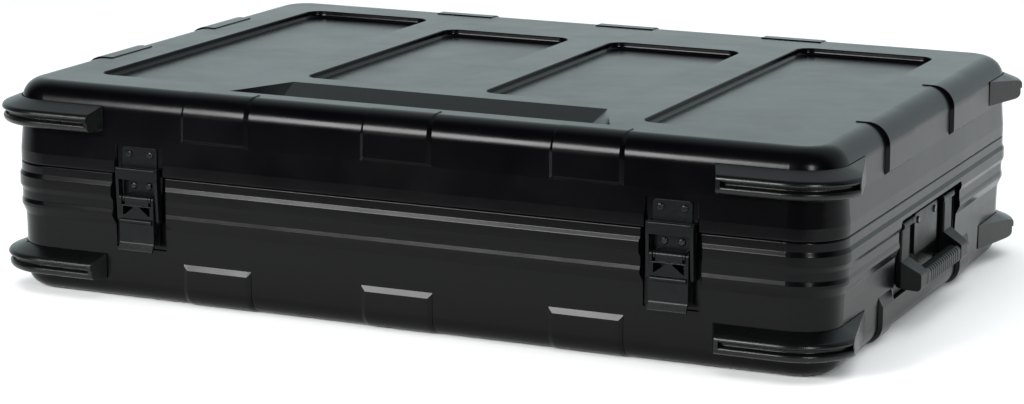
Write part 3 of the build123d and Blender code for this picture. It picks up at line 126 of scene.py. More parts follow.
class LiningSettings(bpy.types.PropertyGroup):
    """Looks of the foam lining and the gasket."""
    foam_colour: colour_property("Foam colour", "Colour of the charcoal foam", "#2b2c2f")
    gasket_colour: colour_property("Gasket colour", "Colour of the sponge rubber seal", "#101112")
    cube: length_property("Pluck cube", "Spacing of the slits in the floor foam", 25 * MM)
    crest: length_property("Crest", "Spacing of the crests of the convoluted foam", 46 * MM)
    crest_height: length_property("Crest height", "Height from valley to crest", 11 * MM)


class StageSettings(bpy.types.PropertyGroup):
    """Camera, floor and studio light."""
    floor_colour: colour_property("Floor colour", "Colour of the pale floor", "#f4f5f5")
    floor_front: length_property("Floor front", "Reach of the floor in front of the case's middle", 0.80)
    sweep_colour: colour_property("Sweep colour", "Tint of the light from behind", "#edfdff")
    sweep: share_property("Sweep", "Brightness of the sweep behind the case", 0.95)
    ceiling: share_property("Ceiling", "Brightness overhead, against the sweep", 0.8)
    front: share_property("Front", "Brightness of the room in front of the case", 0.0)
    lens: length_property("Lens", "Focal length of the camera's lens", 107.87 * MM)
    azimuth: bpy.props.FloatProperty(
        name="Azimuth", description="Camera's turn to the right of the front", subtype="ANGLE",
        default=math.radians(23.80))
    elevation: bpy.props.FloatProperty(
        name="Elevation", description="Camera's height above the horizon", subtype="ANGLE",
        default=math.radians(11.85))
    roll: bpy.props.FloatProperty(
        name="Roll", description="Camera's turn about its own axis", subtype="ANGLE",
        default=math.radians(0.41))


SETTINGS = (
    ("case_shell", ShellSettings),
    ("case_hardware", HardwareSettings),
    ("case_lining", LiningSettings),
    ("case_stage", StageSettings),
)


def add_node(tree, kind, settings=None, links=None):
    """Adds a node; links maps its inputs to constants or to other nodes' outputs."""
    made = tree.nodes.new(kind)
    for name, value in (settings or {}).items():
        setattr(made, name, value)
    for name, value in (links or {}).items():
        if isinstance(value, bpy.types.NodeSocket):
            tree.links.new(value, made.inputs[name])
        else:
            made.inputs[name].default_value = value
    return made


def new_material(name):
    """Empty node material with its output."""
    material = bpy.data.materials.new(name)
    material.use_nodes = True
    material.node_tree.nodes.clear()
    return material, material.node_tree, add_node(material.node_tree, "ShaderNodeOutputMaterial")


def per_metre(size):
    """Texture scale for a pattern whose repeat is size, in metres."""
    return 1.0 / max(size, 0.0001)


def shade_of(colour, factor):
    """Colour with its alpha, lightened or darkened by a factor."""
    return tuple(min(1.0, part * factor) for part in colour) + (1.0,)


def polyethylene(settings):
    """Rotationally moulded black polyethylene: waxy, with a fine pebbled grain and soft waves."""
    material, tree, output = new_material("rotomoulded_polyethylene")
    place = add_node(tree, "ShaderNodeTexCoord").outputs["Object"]
    # Slow changes in the skin: its black and its gloss differ a little from one hand's width to the next
    cloud = add_node(tree, "ShaderNodeTexNoise", links={
        "Vector": place, "Scale": per_metre(90 * MM), "Detail": 4.0, "Roughness": 0.6})
    patch = add_node(tree, "ShaderNodeMapRange", links={
        "Value": cloud.outputs["Fac"], "From Min": 0.3, "From Max": 0.7, "To Min": 0.0, "To Max": 1.0})
    # Scuffs: grey scratches along the lowest edge, where the case is dragged
    height = add_node(tree, "ShaderNodeSeparateXYZ", links={"Vector": place}).outputs["Z"]
    low = add_node(tree, "ShaderNodeMapRange", links={
        "Value": height, "From Min": 14 * MM, "From Max": 0.0, "To Min": 0.0, "To Max": settings.scuff})
    scratch = add_node(tree, "ShaderNodeTexNoise", links={
        "Vector": place, "Scale": per_metre(6 * MM), "Detail": 6.0, "Roughness": 0.75})
    marks = add_node(tree, "ShaderNodeMapRange", links={
        "Value": scratch.outputs["Fac"], "From Min": 0.5, "From Max": 0.68, "To Min": 0.0, "To Max": 1.0})
    worn = add_node(tree, "ShaderNodeMath", {"operation": "MULTIPLY", "use_clamp": True}, {
        0: low.outputs["Result"], 1: marks.outputs["Result"]})
    colour = add_node(tree, "ShaderNodeMix", {"data_type": "RGBA"}, {
        "Factor": patch.outputs["Result"],
        "A": shade_of(settings.colour, 0.9), "B": shade_of(settings.colour, 1.12)})
    colour = add_node(tree, "ShaderNodeMix", {"data_type": "RGBA"}, {
        "Factor": worn.outputs[0], "A": colour.outputs["Result"], "B": shade_of(settings.colour, 5.0)})
    rough = add_node(tree, "ShaderNodeMapRange", links={
        "Value": cloud.outputs["Fac"], "From Min": 0.3, "From Max": 0.7,
        "To Min": settings.roughness - 0.03, "To Max": settings.roughness + 0.04})
    rough = add_node(tree, "ShaderNodeMath", {"operation": "ADD", "use_clamp": True}, {
        0: rough.outputs["Result"], 1: worn.outputs[0]})
    # Waves bend the long reflections a little, and the pebbled grain spreads them into a satin sheen
    swell = add_node(tree, "ShaderNodeTexNoise", links={
        "Vector": place, "Scale": per_metre(settings.swell), "Detail": 1.0, "Roughness": 0.4})
    wave = add_node(tree, "ShaderNodeBump", links={
        "Strength": 0.25, "Distance": 0.5 * MM, "Height": swell.outputs["Fac"]})
    grain = add_node(tree, "ShaderNodeTexNoise", links={
        "Vector": place, "Scale": per_metre(settings.grain), "Detail": 2.0, "Roughness": 0.6})
    pebble = add_node(tree, "ShaderNodeBump", links={
        "Strength": 0.12, "Distance": 0.12 * MM, "Height": grain.outputs["Fac"],
        "Normal": wave.outputs["Normal"]})
    shader = add_node(tree, "ShaderNodeBsdfPrincipled", links={
        "Base Color": colour.outputs["Result"], "Roughness": rough.outputs[0], "IOR": 1.51,
        "Specular IOR Level": settings.shine, "Normal": pebble.outputs["Normal"]})
    tree.links.new(shader.outputs[0], output.inputs["Surface"])
    return material


def moulded(name, colour, roughness, grain_size, grain_depth, shine, variation=0.04):
    """Injection moulded plastic or rubber of one colour with a fine grain and slight gloss changes."""
    material, tree, output = new_material(name)
    place = add_node(tree, "ShaderNodeTexCoord").outputs["Object"]
    # Flow of the melt: cloudy changes in shade and gloss over a few centimetres
    cloud = add_node(tree, "ShaderNodeTexNoise", links={
        "Vector": place, "Scale": per_metre(35 * MM), "Detail": 3.0, "Roughness": 0.6})
    patch = add_node(tree, "ShaderNodeMapRange", links={
        "Value": cloud.outputs["Fac"], "From Min": 0.3, "From Max": 0.7, "To Min": 0.0, "To Max": 1.0})
    shade = add_node(tree, "ShaderNodeMix", {"data_type": "RGBA"}, {
        "Factor": patch.outputs["Result"], "A": shade_of(colour, 0.88), "B": shade_of(colour, 1.18)})
    rough = add_node(tree, "ShaderNodeMapRange", links={
        "Value": cloud.outputs["Fac"], "From Min": 0.3, "From Max": 0.7,
        "To Min": roughness - variation, "To Max": roughness + variation})
    # Edges carry the small radius of the tool, and the grain dulls the highlight that they catch
    edge = add_node(tree, "ShaderNodeBevel", {"samples": 4}, {"Radius": 0.5 * MM})
    grain = add_node(tree, "ShaderNodeTexNoise", links={
        "Vector": place, "Scale": per_metre(grain_size), "Detail": 2.0, "Roughness": 0.5})
    bump = add_node(tree, "ShaderNodeBump", links={
        "Strength": 0.3, "Distance": grain_depth, "Height": grain.outputs["Fac"],
        "Normal": edge.outputs["Normal"]})
    shader = add_node(tree, "ShaderNodeBsdfPrincipled", links={
        "Base Color": shade.outputs["Result"], "Roughness": rough.outputs["Result"], "IOR": 1.5,
        "Specular IOR Level": shine, "Normal": bump.outputs["Normal"]})
    tree.links.new(shader.outputs[0], output.inputs["Surface"])
    return material


def coated_steel(name, colour, roughness, metallic, shine=0.5):
    """Stamped steel under a thin black coat, worn a little brighter along its edges."""
    material, tree, output = new_material(name)
    place = add_node(tree, "ShaderNodeTexCoord").outputs["Object"]
    # Wear: where the rounded edge's normal leaves the flat face's, the coat is rubbed thin in specks
    edge = add_node(tree, "ShaderNodeBevel", {"samples": 4}, {"Radius": 0.45 * MM})
    flat = add_node(tree, "ShaderNodeNewGeometry").outputs["Normal"]
    turn = add_node(tree, "ShaderNodeVectorMath", {"operation": "DOT_PRODUCT"}, {
        0: edge.outputs[0], 1: flat})
    rim = add_node(tree, "ShaderNodeMapRange", links={
        "Value": turn.outputs["Value"], "From Min": 0.985, "From Max": 0.88, "To Min": 0.0, "To Max": 1.0})
    speckle = add_node(tree, "ShaderNodeTexNoise", links={
        "Vector": place, "Scale": per_metre(2.5 * MM), "Detail": 5.0, "Roughness": 0.7})
    specks = add_node(tree, "ShaderNodeMapRange", links={
        "Value": speckle.outputs["Fac"], "From Min": 0.42, "From Max": 0.62, "To Min": 0.0, "To Max": 1.0})
    worn = add_node(tree, "ShaderNodeMath", {"operation": "MULTIPLY", "use_clamp": True}, {
        0: rim.outputs["Result"], 1: specks.outputs["Result"]})
    # Coat: thicker and thinner in sweeps, which shifts its black a little
    sweep = add_node(tree, "ShaderNodeTexNoise", links={
        "Vector": place, "Scale": per_metre(20 * MM), "Detail": 3.0, "Roughness": 0.6})
    patch = add_node(tree, "ShaderNodeMapRange", links={
        "Value": sweep.outputs["Fac"], "From Min": 0.3, "From Max": 0.7, "To Min": 0.0, "To Max": 1.0})
    shade = add_node(tree, "ShaderNodeMix", {"data_type": "RGBA"}, {
        "Factor": patch.outputs["Result"], "A": shade_of(colour, 0.85), "B": shade_of(colour, 1.2)})
    shade = add_node(tree, "ShaderNodeMix", {"data_type": "RGBA"}, {
        "Factor": worn.outputs[0], "A": shade.outputs["Result"], "B": shade_of(colour, 6.0)})
    rough = add_node(tree, "ShaderNodeMapRange", links={
        "Value": speckle.outputs["Fac"], "From Min": 0.3, "From Max": 0.7,
        "To Min": roughness - 0.05, "To Max": roughness + 0.07})
    bump = add_node(tree, "ShaderNodeBump", links={
        "Strength": 0.2, "Distance": 0.05 * MM, "Height": speckle.outputs["Fac"],
        "Normal": edge.outputs["Normal"]})
    shader = add_node(tree, "ShaderNodeBsdfPrincipled", links={
        "Base Color": shade.outputs["Result"], "Roughness": rough.outputs["Result"], "Metallic": metallic,
        "Specular IOR Level": shine, "Normal": bump.outputs["Normal"]})
    tree.links.new(shader.outputs[0], output.inputs["Surface"])
    return material


def foam(settings):
    """Open cell polyurethane foam, cut: matt charcoal with small open cells."""
    material, tree, output = new_material("polyurethane_foam")
    place = add_node(tree, "ShaderNodeTexCoord").outputs["Object"]
    # Cells: each pore's pit gets painted shade in its colour, and its rim a painted lighter tone, as if
    # light fell on the rim and not into the hollow
    cells = add_node(tree, "ShaderNodeTexVoronoi", links={"Vector": place, "Scale": per_metre(2.2 * MM)})
    painted_pore_shade = add_node(tree, "ShaderNodeMapRange", links={
        "Value": cells.outputs["Distance"], "From Min": 0.1, "From Max": 0.7, "To Min": 0.0, "To Max": 1.0})
    # Dust: the charcoal greys unevenly over a hand's width
    dust = add_node(tree, "ShaderNodeTexNoise", links={
        "Vector": place, "Scale": per_metre(40 * MM), "Detail": 4.0, "Roughness": 0.6})
    film = add_node(tree, "ShaderNodeMapRange", links={
        "Value": dust.outputs["Fac"], "From Min": 0.3, "From Max": 0.7, "To Min": 0.0, "To Max": 0.35})
    # Painted shade: the foam colour darkened in the pore pits and lightened on their rims
    shade = add_node(tree, "ShaderNodeMix", {"data_type": "RGBA"}, {
        "Factor": painted_pore_shade.outputs["Result"],
        "A": shade_of(settings.foam_colour, 1.3), "B": shade_of(settings.foam_colour, 0.5)})
    shade = add_node(tree, "ShaderNodeMix", {"data_type": "RGBA"}, {
        "Factor": film.outputs["Result"], "A": shade.outputs["Result"],
        "B": shade_of(settings.foam_colour, 0.6)})
    bump = add_node(tree, "ShaderNodeBump", {"invert": True}, {
        "Strength": 0.7, "Distance": 0.6 * MM, "Height": cells.outputs["Distance"]})
    shader = add_node(tree, "ShaderNodeBsdfPrincipled", links={
        "Base Color": shade.outputs["Result"], "Roughness": 0.95, "IOR": 1.45, "Sheen Weight": 0.25,
        "Sheen Roughness": 0.6, "Normal": bump.outputs["Normal"]})
    tree.links.new(shader.outputs[0], output.inputs["Surface"])
    return material


def floor_material(settings):
    """Matt painted studio floor: pale, with a faint mottling so that it isn't dead flat."""
    material, tree, output = new_material("painted_studio_floor")
    place = add_node(tree, "ShaderNodeTexCoord").outputs["Object"]
    mottle = add_node(tree, "ShaderNodeTexNoise", links={"Vector": place, "Scale": 3.0, "Detail": 3.0})
    shade = add_node(tree, "ShaderNodeMix", {"data_type": "RGBA"}, {
        "Factor": mottle.outputs["Fac"],
        "A": shade_of(settings.floor_colour, 0.985), "B": shade_of(settings.floor_colour, 1.0)})
    shader = add_node(tree, "ShaderNodeBsdfPrincipled", links={
        "Base Color": shade.outputs["Result"], "Roughness": 0.8, "IOR": 1.4})
    tree.links.new(shader.outputs[0], output.inputs["Surface"])
    return material


def dress(node, material):
    """Gives a CAD node its material and smooth shading up to an edge angle."""
    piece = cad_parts[node]
    piece.data.materials.clear()
    piece.data.materials.append(material)
    for polygon in piece.data.polygons:
        polygon.use_smooth = True
    piece.data.set_sharp_from_angle(angle=CAD_SHARP_ANGLE)


def new_piece(name, bm, material, body, stands_for):
    """Turns a bmesh into a piece that rides on a body and stands for CAD nodes."""
    mesh = bpy.data.meshes.new(name)
    bmesh.ops.recalc_face_normals(bm, faces=bm.faces)
    bm.to_mesh(mesh)
    bm.free()
    for polygon in mesh.polygons:
        polygon.use_smooth = True
    mesh.set_sharp_from_angle(angle=PIECE_SHARP_ANGLE)
    mesh.materials.append(material)
    piece = bpy.data.objects.new(name, mesh)
    bpy.context.scene.collection.objects.link(piece)
    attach(piece, body)
    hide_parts(*stands_for)
    return piece


def node_box(name):
    """Middle and half size of a CAD node's box."""
    low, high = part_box(name)
    return (low + high) / 2, (high - low) / 2


def rounded_rectangle(half_x, half_y, radius, steps):
    """Points of a rounded rectangle, counterclockwise, with steps points in each corner."""
    points = []
    for quarter in range(4):
        centre_x = (half_x - radius) * (1 if quarter in (0, 3) else -1)
        centre_y = (half_y - radius) * (1 if quarter in (0, 1) else -1)
        for step in range(steps + 1):
            angle = math.pi / 2 * (quarter + step / steps)
            points.append((centre_x + radius * math.cos(angle), centre_y + radius * math.sin(angle)))
    return points


def ring_piece(loops, closed):
    """Skins a list of point loops, one after another, into a bmesh; closed joins last to first."""
    bm = bmesh.new()
    rings = [[bm.verts.new(point) for point in loop] for loop in loops]
    count = len(rings[0])
    pairs = list(zip(rings, rings[1:] + rings[:1])) if closed else list(zip(rings, rings[1:]))
    for first, second in pairs:
        for index in range(count):
            following = (index + 1) % count
            bm.faces.new((first[index], first[following], second[following], second[index]))
    return bm, rings


def corner_place(x, y, low, high):
    """Moves a place in a slab's square corner into its rounded corner."""
    centre = (low + high) / 2
    reach_x = (high.x - low.x) / 2 - SLAB_CORNER
    reach_y = (high.y - low.y) / 2 - SLAB_CORNER
    across, along = abs(x - centre.x) - reach_x, abs(y - centre.y) - reach_y
    if across <= 0 or along <= 0:
        return x, y
    moved_x = reach_x + across * math.sqrt(1 - (along / SLAB_CORNER) ** 2 / 2)
    moved_y = reach_y + along * math.sqrt(1 - (across / SLAB_CORNER) ** 2 / 2)
    return centre.x + math.copysign(moved_x, x - centre.x), centre.y + math.copysign(moved_y, y - centre.y)


def height_slab(low, high, spacing, lower, upper):
    """Slab with rounded corners on a grid; its lower and upper faces follow two functions of x and y."""
    bm = bmesh.new()
    count_x = max(2, round((high.x - low.x) / spacing))
    count_y = max(2, round((high.y - low.y) / spacing))
    sheets = []
    for shape in (lower, upper):
        rows = []
        for j in range(count_y + 1):
            y = low.y + (high.y - low.y) * j / count_y
            rows.append([])
            for i in range(count_x + 1):
                x = low.x + (high.x - low.x) * i / count_x
                rows[-1].append(bm.verts.new((*corner_place(x, y, low, high), shape(x, y))))
        sheets.append(rows)
    for rows in sheets:
        for j in range(count_y):
            for i in range(count_x):
                bm.faces.new((rows[j][i], rows[j][i + 1], rows[j + 1][i + 1], rows[j + 1][i]))
    down, up = sheets
    rim = [(i, 0) for i in range(count_x)] + [(count_x, j) for j in range(count_y)]
    rim += [(i, count_y) for i in range(count_x, 0, -1)] + [(0, j) for j in range(count_y, 0, -1)]
    for (i, j), (k, m) in zip(rim, rim[1:] + rim[:1]):
        bm.faces.new((down[j][i], down[m][k], up[m][k], up[j][i]))
    return bm


def edge_fall(x, y, low, high, radius):
    """Rounded drop of a slab's face near its rim, from zero inside to radius at the rim."""
    inset = min(x - low.x, high.x - x, y - low.y, high.y - y)
    if inset >= radius:
        return 0.0
    reach = 1 - max(inset, 0) / radius
    return radius * (1 - math.sqrt(max(0.0, 1 - reach * reach)))


def pluck_floor(settings, material):
    """Floor foam with a grid of slits that lets cubes be plucked out."""
    low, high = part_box("base_foam_floor")
    cube = settings.cube
    slit_half_width, slit_depth = 2.0 * MM, 2.0 * MM
    puff_height, puffs_per_metre = 0.5 * MM, 12
    clearance = 0.6 * MM

    def top(x, y):
        away = min(abs((x / cube) % 1 - 0.5), abs((y / cube) % 1 - 0.5)) * cube
        dip = slit_depth * max(0.0, 1 - away / slit_half_width)
        puff = puff_height * noise.noise(Vector((x, y, 0)) * puffs_per_metre)
        return high.z - dip - clearance - puff - edge_fall(x, y, low, high, 4 * MM)

    def bottom(x, y):
        return low.z + edge_fall(x, y, low, high, 12 * MM)

    bm = height_slab(low, high, cube / 10, bottom, top)
    piece = new_piece("floor_foam", bm, material, "base", ["base_foam_floor"])
    return piece


def crest_pad(settings, material):
    """Lid foam with egg shaped crests and valleys that hold the load down."""
    low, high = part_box("lid_foam_pad")
    swing = settings.crest_height / 2
    rate = 2 * math.pi / settings.crest

    def bottom(x, y):
        wave = math.sin(rate * x) * math.sin(rate * y)
        border = min(1.0, min(x - low.x, high.x - x, y - low.y, high.y - y) / (45 * MM))
        return low.z + swing + swing * wave * border - 0.2 * MM

    def top(x, y):
        under_recess = abs(x) < RECESS_HALF_LENGTH and y < RECESS_BACK
        return high.z - (RECESS_RELIEF if under_recess else 0.0)

    bm = height_slab(low, high, settings.crest / 9, bottom, top)
    piece = new_piece("lid_crest_foam", bm, material, "lid", ["lid_foam_pad"])
    return piece


def foam_strip(node, body, material):
    """Cut foam strip along a wall: a long block with soft edges, faintly uneven where the blade ran.

    The front and back strips reach into the shells' corners, so their outer face bends round there.
    """
    middle, half = node_box(node)
    run = 0 if half.x > half.y else 1
    across = 1 - run
    edge = 4 * MM
    ripple_height = 0.35 * MM
    count = round(2 * half[run] / (9 * MM))
    stations = [(0.0, edge), (0.3 * edge, 0.35 * edge), (edge, 0.0)]
    stations += [(2 * half[run] * step / count, 0.0) for step in range(1, count)]
    stations += [(2 * half[run] - along, inset) for along, inset in reversed(stations[:3])]
    outward = math.copysign(1.0, middle[across])
    loops = []
    for along, inset in stations:
        from_end = min(along, 2 * half[run] - along)
        bend = 0.0
        if run == 0 and from_end < SLAB_CORNER:
            bend = SLAB_CORNER - math.sqrt(SLAB_CORNER ** 2 - (SLAB_CORNER - from_end) ** 2)
        width = half[across] - bend / 2
        loop = []
        for x, z in rounded_rectangle(width - inset, half.z - inset, min(edge, width - inset), 4):
            ripple = ripple_height * noise.noise(Vector((along * 30, x * 60, z * 60)))
            point = Vector((0, 0, middle.z + z * (1 - ripple / half.z)))
            point[run] = middle[run] - half[run] + along
            point[across] = middle[across] - outward * bend / 2 + x
            point[across] -= math.copysign(ripple_height + ripple, x)
            loop.append(point)
        loops.append(loop)
    bm, rings = ring_piece(loops, False)
    bm.faces.new(rings[0])
    bm.faces.new(rings[-1])
    piece = new_piece(f"cut_{node}", bm, material, body, [node])
    return piece


def seal(material):
    """Round faced sponge seal that runs under the lid's ledge."""
    middle, half = node_box("rim_gasket")
    width = 1.8 * MM
    loops = []
    steps = 12
    for step in range(steps):
        angle = 2 * math.pi * step / steps
        inset = width * (1 - math.cos(angle))
        height = middle.z + max(-1.0, min(1.0, 1.1 * math.sin(angle))) * (half.z - 0.05 * MM)
        loop = rounded_rectangle(half.x - inset, half.y - inset, SEAL_CORNER - inset, 16)
        loops.append([(x, y, height) for x, y in loop])
    bm, _ = ring_piece(loops, True)
    piece = new_piece("sponge_seal", bm, material, "lid", ["rim_gasket"])
    return piece


def soft_grip(side, settings, material):
    """Sleeve with shallow ribs round it and rolled ends."""
    node = f"handle_grip_{side}"
    middle, half = node_box(node)
    rounding = 5 * MM
    bore = 4.6 * MM
    spacing = settings.rib_pitch / 8
    count = round(2 * half.y / spacing)
    loops = []
    for index in range(count + 1):
        along = -half.y + 2 * half.y * index / count
        inset = ribbed_inset(along, half.y, settings)
        ring = rounded_rectangle(half.x - inset, half.z - inset, rounding, 7)
        loops.append([(middle.x + x, along, middle.z + z) for x, z in ring])
    for along in (half.y, -half.y):
        ring = rounded_rectangle(bore, bore, bore * 0.999, 7)
        loops.append([(middle.x + x, along, middle.z + z) for x, z in ring])
    bm, _ = ring_piece(loops, True)
    piece = new_piece(f"ribbed_grip_{side}", bm, material, f"handle_bail_{side}", [node])
    return piece


def ribbed_inset(along, half, settings):
    """How far the grip's skin lies inside its box at a place along it."""
    end = half - abs(along)
    roll = 3 * MM
    inset = 0.0
    if end < roll:
        inset += roll * (1 - math.sqrt(max(0.0, 1 - (1 - end / roll) ** 2)))
    if end > 10 * MM:
        wave = 0.5 - 0.5 * math.cos(2 * math.pi * along / settings.rib_pitch)
        inset += settings.rib_depth * wave ** 3
    return inset + 0.05 * MM


def area_light(name, place, target, size, power, seen=True):
    """Soft rectangular light aimed at a point."""
    data = bpy.data.lights.new(name, "AREA")
    data.shape = "RECTANGLE"
    data.size, data.size_y = size
    data.energy = power
    lamp = bpy.data.objects.new(name, data)
    lamp.location = place
    lamp.rotation_mode = "QUATERNION"
    lamp.rotation_quaternion = (Vector(target) - Vector(place)).to_track_quat("-Z", "Y")
    lamp.visible_glossy = seen
    lamp.visible_camera = False
    bpy.context.scene.collection.objects.link(lamp)


def studio_world(settings):
    """White sweep low behind the case, a dimmer ceiling and a dark room in front of it.

    The camera itself sees the pale sweep all round.
    """
    world = bpy.data.worlds.new("studio")
    bpy.context.scene.world = world
    world.use_nodes = True
    tree = world.node_tree
    tree.nodes.clear()
    output = add_node(tree, "ShaderNodeOutputWorld")
    direction = add_node(tree, "ShaderNodeTexCoord").outputs["Generated"]
    parts = add_node(tree, "ShaderNodeSeparateXYZ", links={"Vector": direction})
    behind = add_node(tree, "ShaderNodeMapRange", {"interpolation_type": "SMOOTHSTEP"}, {
        "Value": parts.outputs["Y"], "From Min": -0.15, "From Max": 0.55, "To Min": settings.front,
        "To Max": settings.sweep})
    level = add_node(tree, "ShaderNodeMapRange", {"interpolation_type": "SMOOTHSTEP"}, {
        "Value": parts.outputs["Z"], "From Min": 0.28, "From Max": 0.50, "To Min": 1.0,
        "To Max": settings.ceiling})
    glow = add_node(tree, "ShaderNodeMath", {"operation": "MULTIPLY"}, {
        0: behind.outputs["Result"], 1: level.outputs["Result"]})
    room = add_node(tree, "ShaderNodeBackground", links={
        "Color": (*settings.sweep_colour, 1), "Strength": glow.outputs[0]})
    pale = add_node(tree, "ShaderNodeBackground", links={"Color": (1, 1, 1, 1), "Strength": 1.0})
    eye = add_node(tree, "ShaderNodeLightPath").outputs["Is Camera Ray"]
    mixed = add_node(tree, "ShaderNodeMixShader", links={0: eye, 1: room.outputs[0], 2: pale.outputs[0]})
    tree.links.new(mixed.outputs[0], output.inputs["Surface"])


def make_camera(settings):
    """Camera at the photo's angle, with its long lens, distance and slight roll."""
    data = bpy.data.cameras.new("camera")
    data.sensor_width = SENSOR_WIDTH
    data.lens = settings.lens * 1000
    data.clip_start, data.clip_end = 0.05, 60.0
    data.shift_x, data.shift_y = CAMERA_SHIFT
    azimuth, elevation = settings.azimuth, settings.elevation
    back = Vector((math.sin(azimuth) * math.cos(elevation), -math.cos(azimuth) * math.cos(elevation),
                   math.sin(elevation)))
    camera = bpy.data.objects.new("camera", data)
    camera.location = CAMERA_PLACE
    camera.rotation_mode = "QUATERNION"
    camera.rotation_quaternion = Quaternion(back, settings.roll) @ (-back).to_track_quat("-Z", "Y")
    bpy.context.scene.collection.objects.link(camera)
    bpy.context.scene.camera = camera


def make_floor(settings):
    """Pale floor that ends a little way in front of the case."""
    bm = bmesh.new()
    front = -settings.floor_front
    corners = [(-FLOOR_HALF, front), (FLOOR_HALF, front)]
    corners += [(FLOOR_HALF, FLOOR_BACK), (-FLOOR_HALF, FLOOR_BACK)]
    bm.faces.new([bm.verts.new((x, y, 0)) for x, y in corners])
    mesh = bpy.data.meshes.new("floor")
    bm.to_mesh(mesh)
    bm.free()
    mesh.materials.append(floor_material(settings))
    floor = bpy.data.objects.new("floor", mesh)
    bpy.context.scene.collection.objects.link(floor)


class CASE_OT_shells(bpy.types.Operator):
    """Finish the moulded base and lid"""
    bl_idname = "case.shells"
    bl_label = "Shells"

    def execute(self, context):
        material = polyethylene(context.scene.case_shell)
        for node in ("base_shell", "lid_shell"):
            dress(node, material)
        return {"FINISHED"}


class CASE_OT_bumpers(bpy.types.Operator):
    """Finish the corner bumpers"""
    bl_idname = "case.bumpers"
    bl_label = "Bumpers"

    def execute(self, context):
        settings = context.scene.case_hardware
        # Injection moulded nylon: smoother than the shell, so its ridges catch crisp highlights
        material = moulded(
            "moulded_nylon_bumper", settings.bumper_colour, 0.28, 1.2 * MM, 0.05 * MM, settings.shine)
        for level in ("top", "bottom"):
            for corner in CORNERS:
                dress(f"{level}_bumper_{corner}", material)
        return {"FINISHED"}


class CASE_OT_latches(bpy.types.Operator):
    """Finish the draw latches and keepers"""
    bl_idname = "case.latches"
    bl_label = "Latches"

    def execute(self, context):
        settings = context.scene.case_hardware
        # Stamped steel with a black electrophoretic coat: satin, with sharp light along bends
        steel = coated_steel("black_coated_stamped_steel", settings.steel_colour, 0.3, 0.0, 0.13)
        for side in SIDES:
            for piece in ("latch_plate", "latch_lever", "latch_claw", "latch_keeper"):
                dress(f"{piece}_{side}", steel)
        return {"FINISHED"}


class CASE_OT_hinges(bpy.types.Operator):
    """Finish the stop hinges"""
    bl_idname = "case.hinges"
    bl_label = "Hinges"

    def execute(self, context):
        settings = context.scene.case_hardware
        # The hinge steel is the latches' stock with a slightly duller coat
        steel = coated_steel("black_coated_hinge_steel", settings.steel_colour, 0.33, 0.0, 0.15)
        for side in SIDES:
            for piece in ("hinge_base_leaf", "hinge_lid_leaf"):
                dress(f"{piece}_{side}", steel)
        return {"FINISHED"}


class CASE_OT_fasteners(bpy.types.Operator):
    """Finish rivets, screws and pins"""
    bl_idname = "case.fasteners"
    bl_label = "Fasteners"

    def execute(self, context):
        settings = context.scene.case_hardware
        # Black zinc plated steel: darker than bare steel but still metal, a tight highlight on each dome
        steel = coated_steel("black_zinc_plated_steel", settings.fastener_colour, 0.25, 1.0)
        names = ["top_bumper_screws", "bottom_bumper_screws"]
        for side in SIDES:
            names += [f"{piece}_{side}" for piece in (
                "latch_plate_rivets", "keeper_rivets", "lever_pin", "claw_pin", "hinge_pin",
                "hinge_base_rivets", "hinge_lid_rivets", "handle_pins", "handle_rivets")]
        for name in names:
            dress(name, steel)
        return {"FINISHED"}


class CASE_OT_handles(bpy.types.Operator):
    """Finish the handles and fit their ribbed grips"""
    bl_idname = "case.handles"
    bl_label = "Handles"

    def execute(self, context):
        settings = context.scene.case_hardware
        # Glass filled nylon, moulded: a slightly mottled satin black
        nylon = moulded(
            "glass_filled_nylon", settings.handle_colour, 0.34, 1.0 * MM, 0.06 * MM,
            settings.shine / 2, 0.07)
        # Overmoulded thermoplastic rubber: soft sheen, no sharp highlight
        rubber = moulded(
            "overmoulded_rubber", settings.grip_colour, 0.42, 0.9 * MM, 0.08 * MM, settings.shine)
        for side in SIDES:
            dress(f"handle_plate_{side}", nylon)
            dress(f"handle_bail_{side}", nylon)
            soft_grip(side, settings, rubber)
        return {"FINISHED"}


class CASE_OT_lining(bpy.types.Operator):
    """Fit the foam lining and the lid seal"""
    bl_idname = "case.lining"
    bl_label = "Lining"

    def execute(self, context):
        settings = context.scene.case_lining
        cells = foam(settings)
        # Closed cell sponge rubber, extruded: dull black skin
        sponge = moulded("extruded_sponge_rubber", settings.gasket_colour, 0.7, 0.8 * MM, 0.1 * MM, 0.3)
        pluck_floor(settings, cells)
        crest_pad(settings, cells)
        for body in ("base", "lid"):
            for side in ("front", "back", "left", "right"):
                foam_strip(f"{body}_foam_{side}", body, cells)
        seal(sponge)
        return {"FINISHED"}


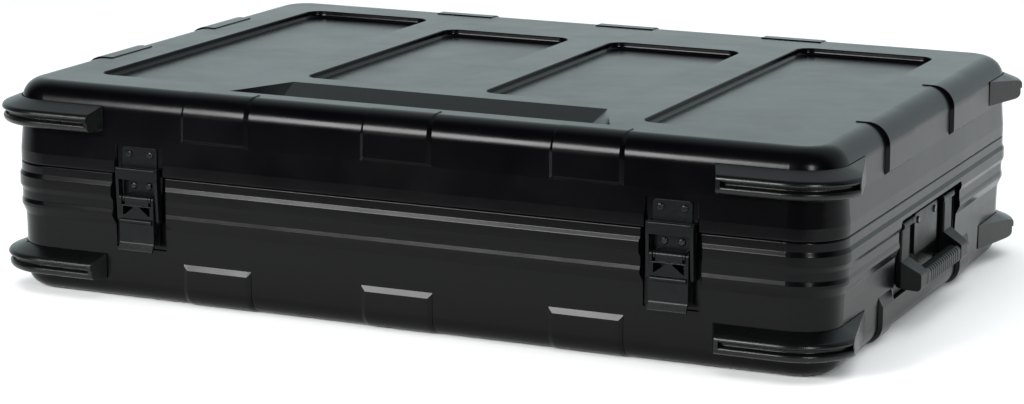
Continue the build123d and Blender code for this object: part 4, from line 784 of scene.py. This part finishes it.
class CASE_OT_stage(bpy.types.Operator):
    """Set up the floor, the studio light and the camera"""
    bl_idname = "case.stage"
    bl_label = "Stage"

    def execute(self, context):
        settings = context.scene.case_stage
        context.scene.view_settings.view_transform = "Standard"
        make_floor(settings)
        studio_world(settings)
        make_camera(settings)
        # The softbox low in front gives the bold light line along the lid's rounded edge and the beads
        area_light("edge_softbox", (-0.94, -2.42, 1.02), (0, -0.29, 0.2), (1.1, 0.80), 95)
        # The narrow upright light on the right puts a glint on the front right corner
        area_light("corner_strip", (1.75, -2.05, 1.05), (0.4, -0.27, 0.15), (0.35, 0.85), 28)
        # The fill lights the floor and stays out of the reflections
        area_light("overhead_fill", (0.4, 0.3, 3.0), (0.3, 0.2, 0), (5.6, 5.6), 172, seen=False)
        return {"FINISHED"}


OPERATORS = (
    CASE_OT_shells,
    CASE_OT_bumpers,
    CASE_OT_latches,
    CASE_OT_hinges,
    CASE_OT_fasteners,
    CASE_OT_handles,
    CASE_OT_lining,
    CASE_OT_stage,
)


class CASE_PT_panel(bpy.types.Panel):
    """Settings and steps of the hard case's finish"""
    bl_idname = "CASE_PT_panel"
    bl_label = "Hard Case"
    bl_space_type = "VIEW_3D"
    bl_region_type = "UI"
    bl_category = "Hard Case"

    def draw(self, context):
        layout = self.layout
        for name, group in SETTINGS:
            settings = getattr(context.scene, name)
            box = layout.box()
            box.label(text=group.__doc__)
            for field in group.__annotations__:
                box.prop(settings, field)
        for operator in OPERATORS:
            layout.operator(operator.bl_idname)


def register():
    for name, group in SETTINGS:
        bpy.utils.register_class(group)
        setattr(bpy.types.Scene, name, bpy.props.PointerProperty(type=group))
    for operator in OPERATORS:
        bpy.utils.register_class(operator)
    bpy.utils.register_class(CASE_PT_panel)


def unregister():
    bpy.utils.unregister_class(CASE_PT_panel)
    for operator in reversed(OPERATORS):
        bpy.utils.unregister_class(operator)
    for name, group in reversed(SETTINGS):
        delattr(bpy.types.Scene, name)
        bpy.utils.unregister_class(group)


def main():
    """Runs every step in order."""
    register()
    for operator in OPERATORS:
        group, step = operator.bl_idname.split(".")
        getattr(getattr(bpy.ops, group), step)()


if __name__ == "__main__":
    main()
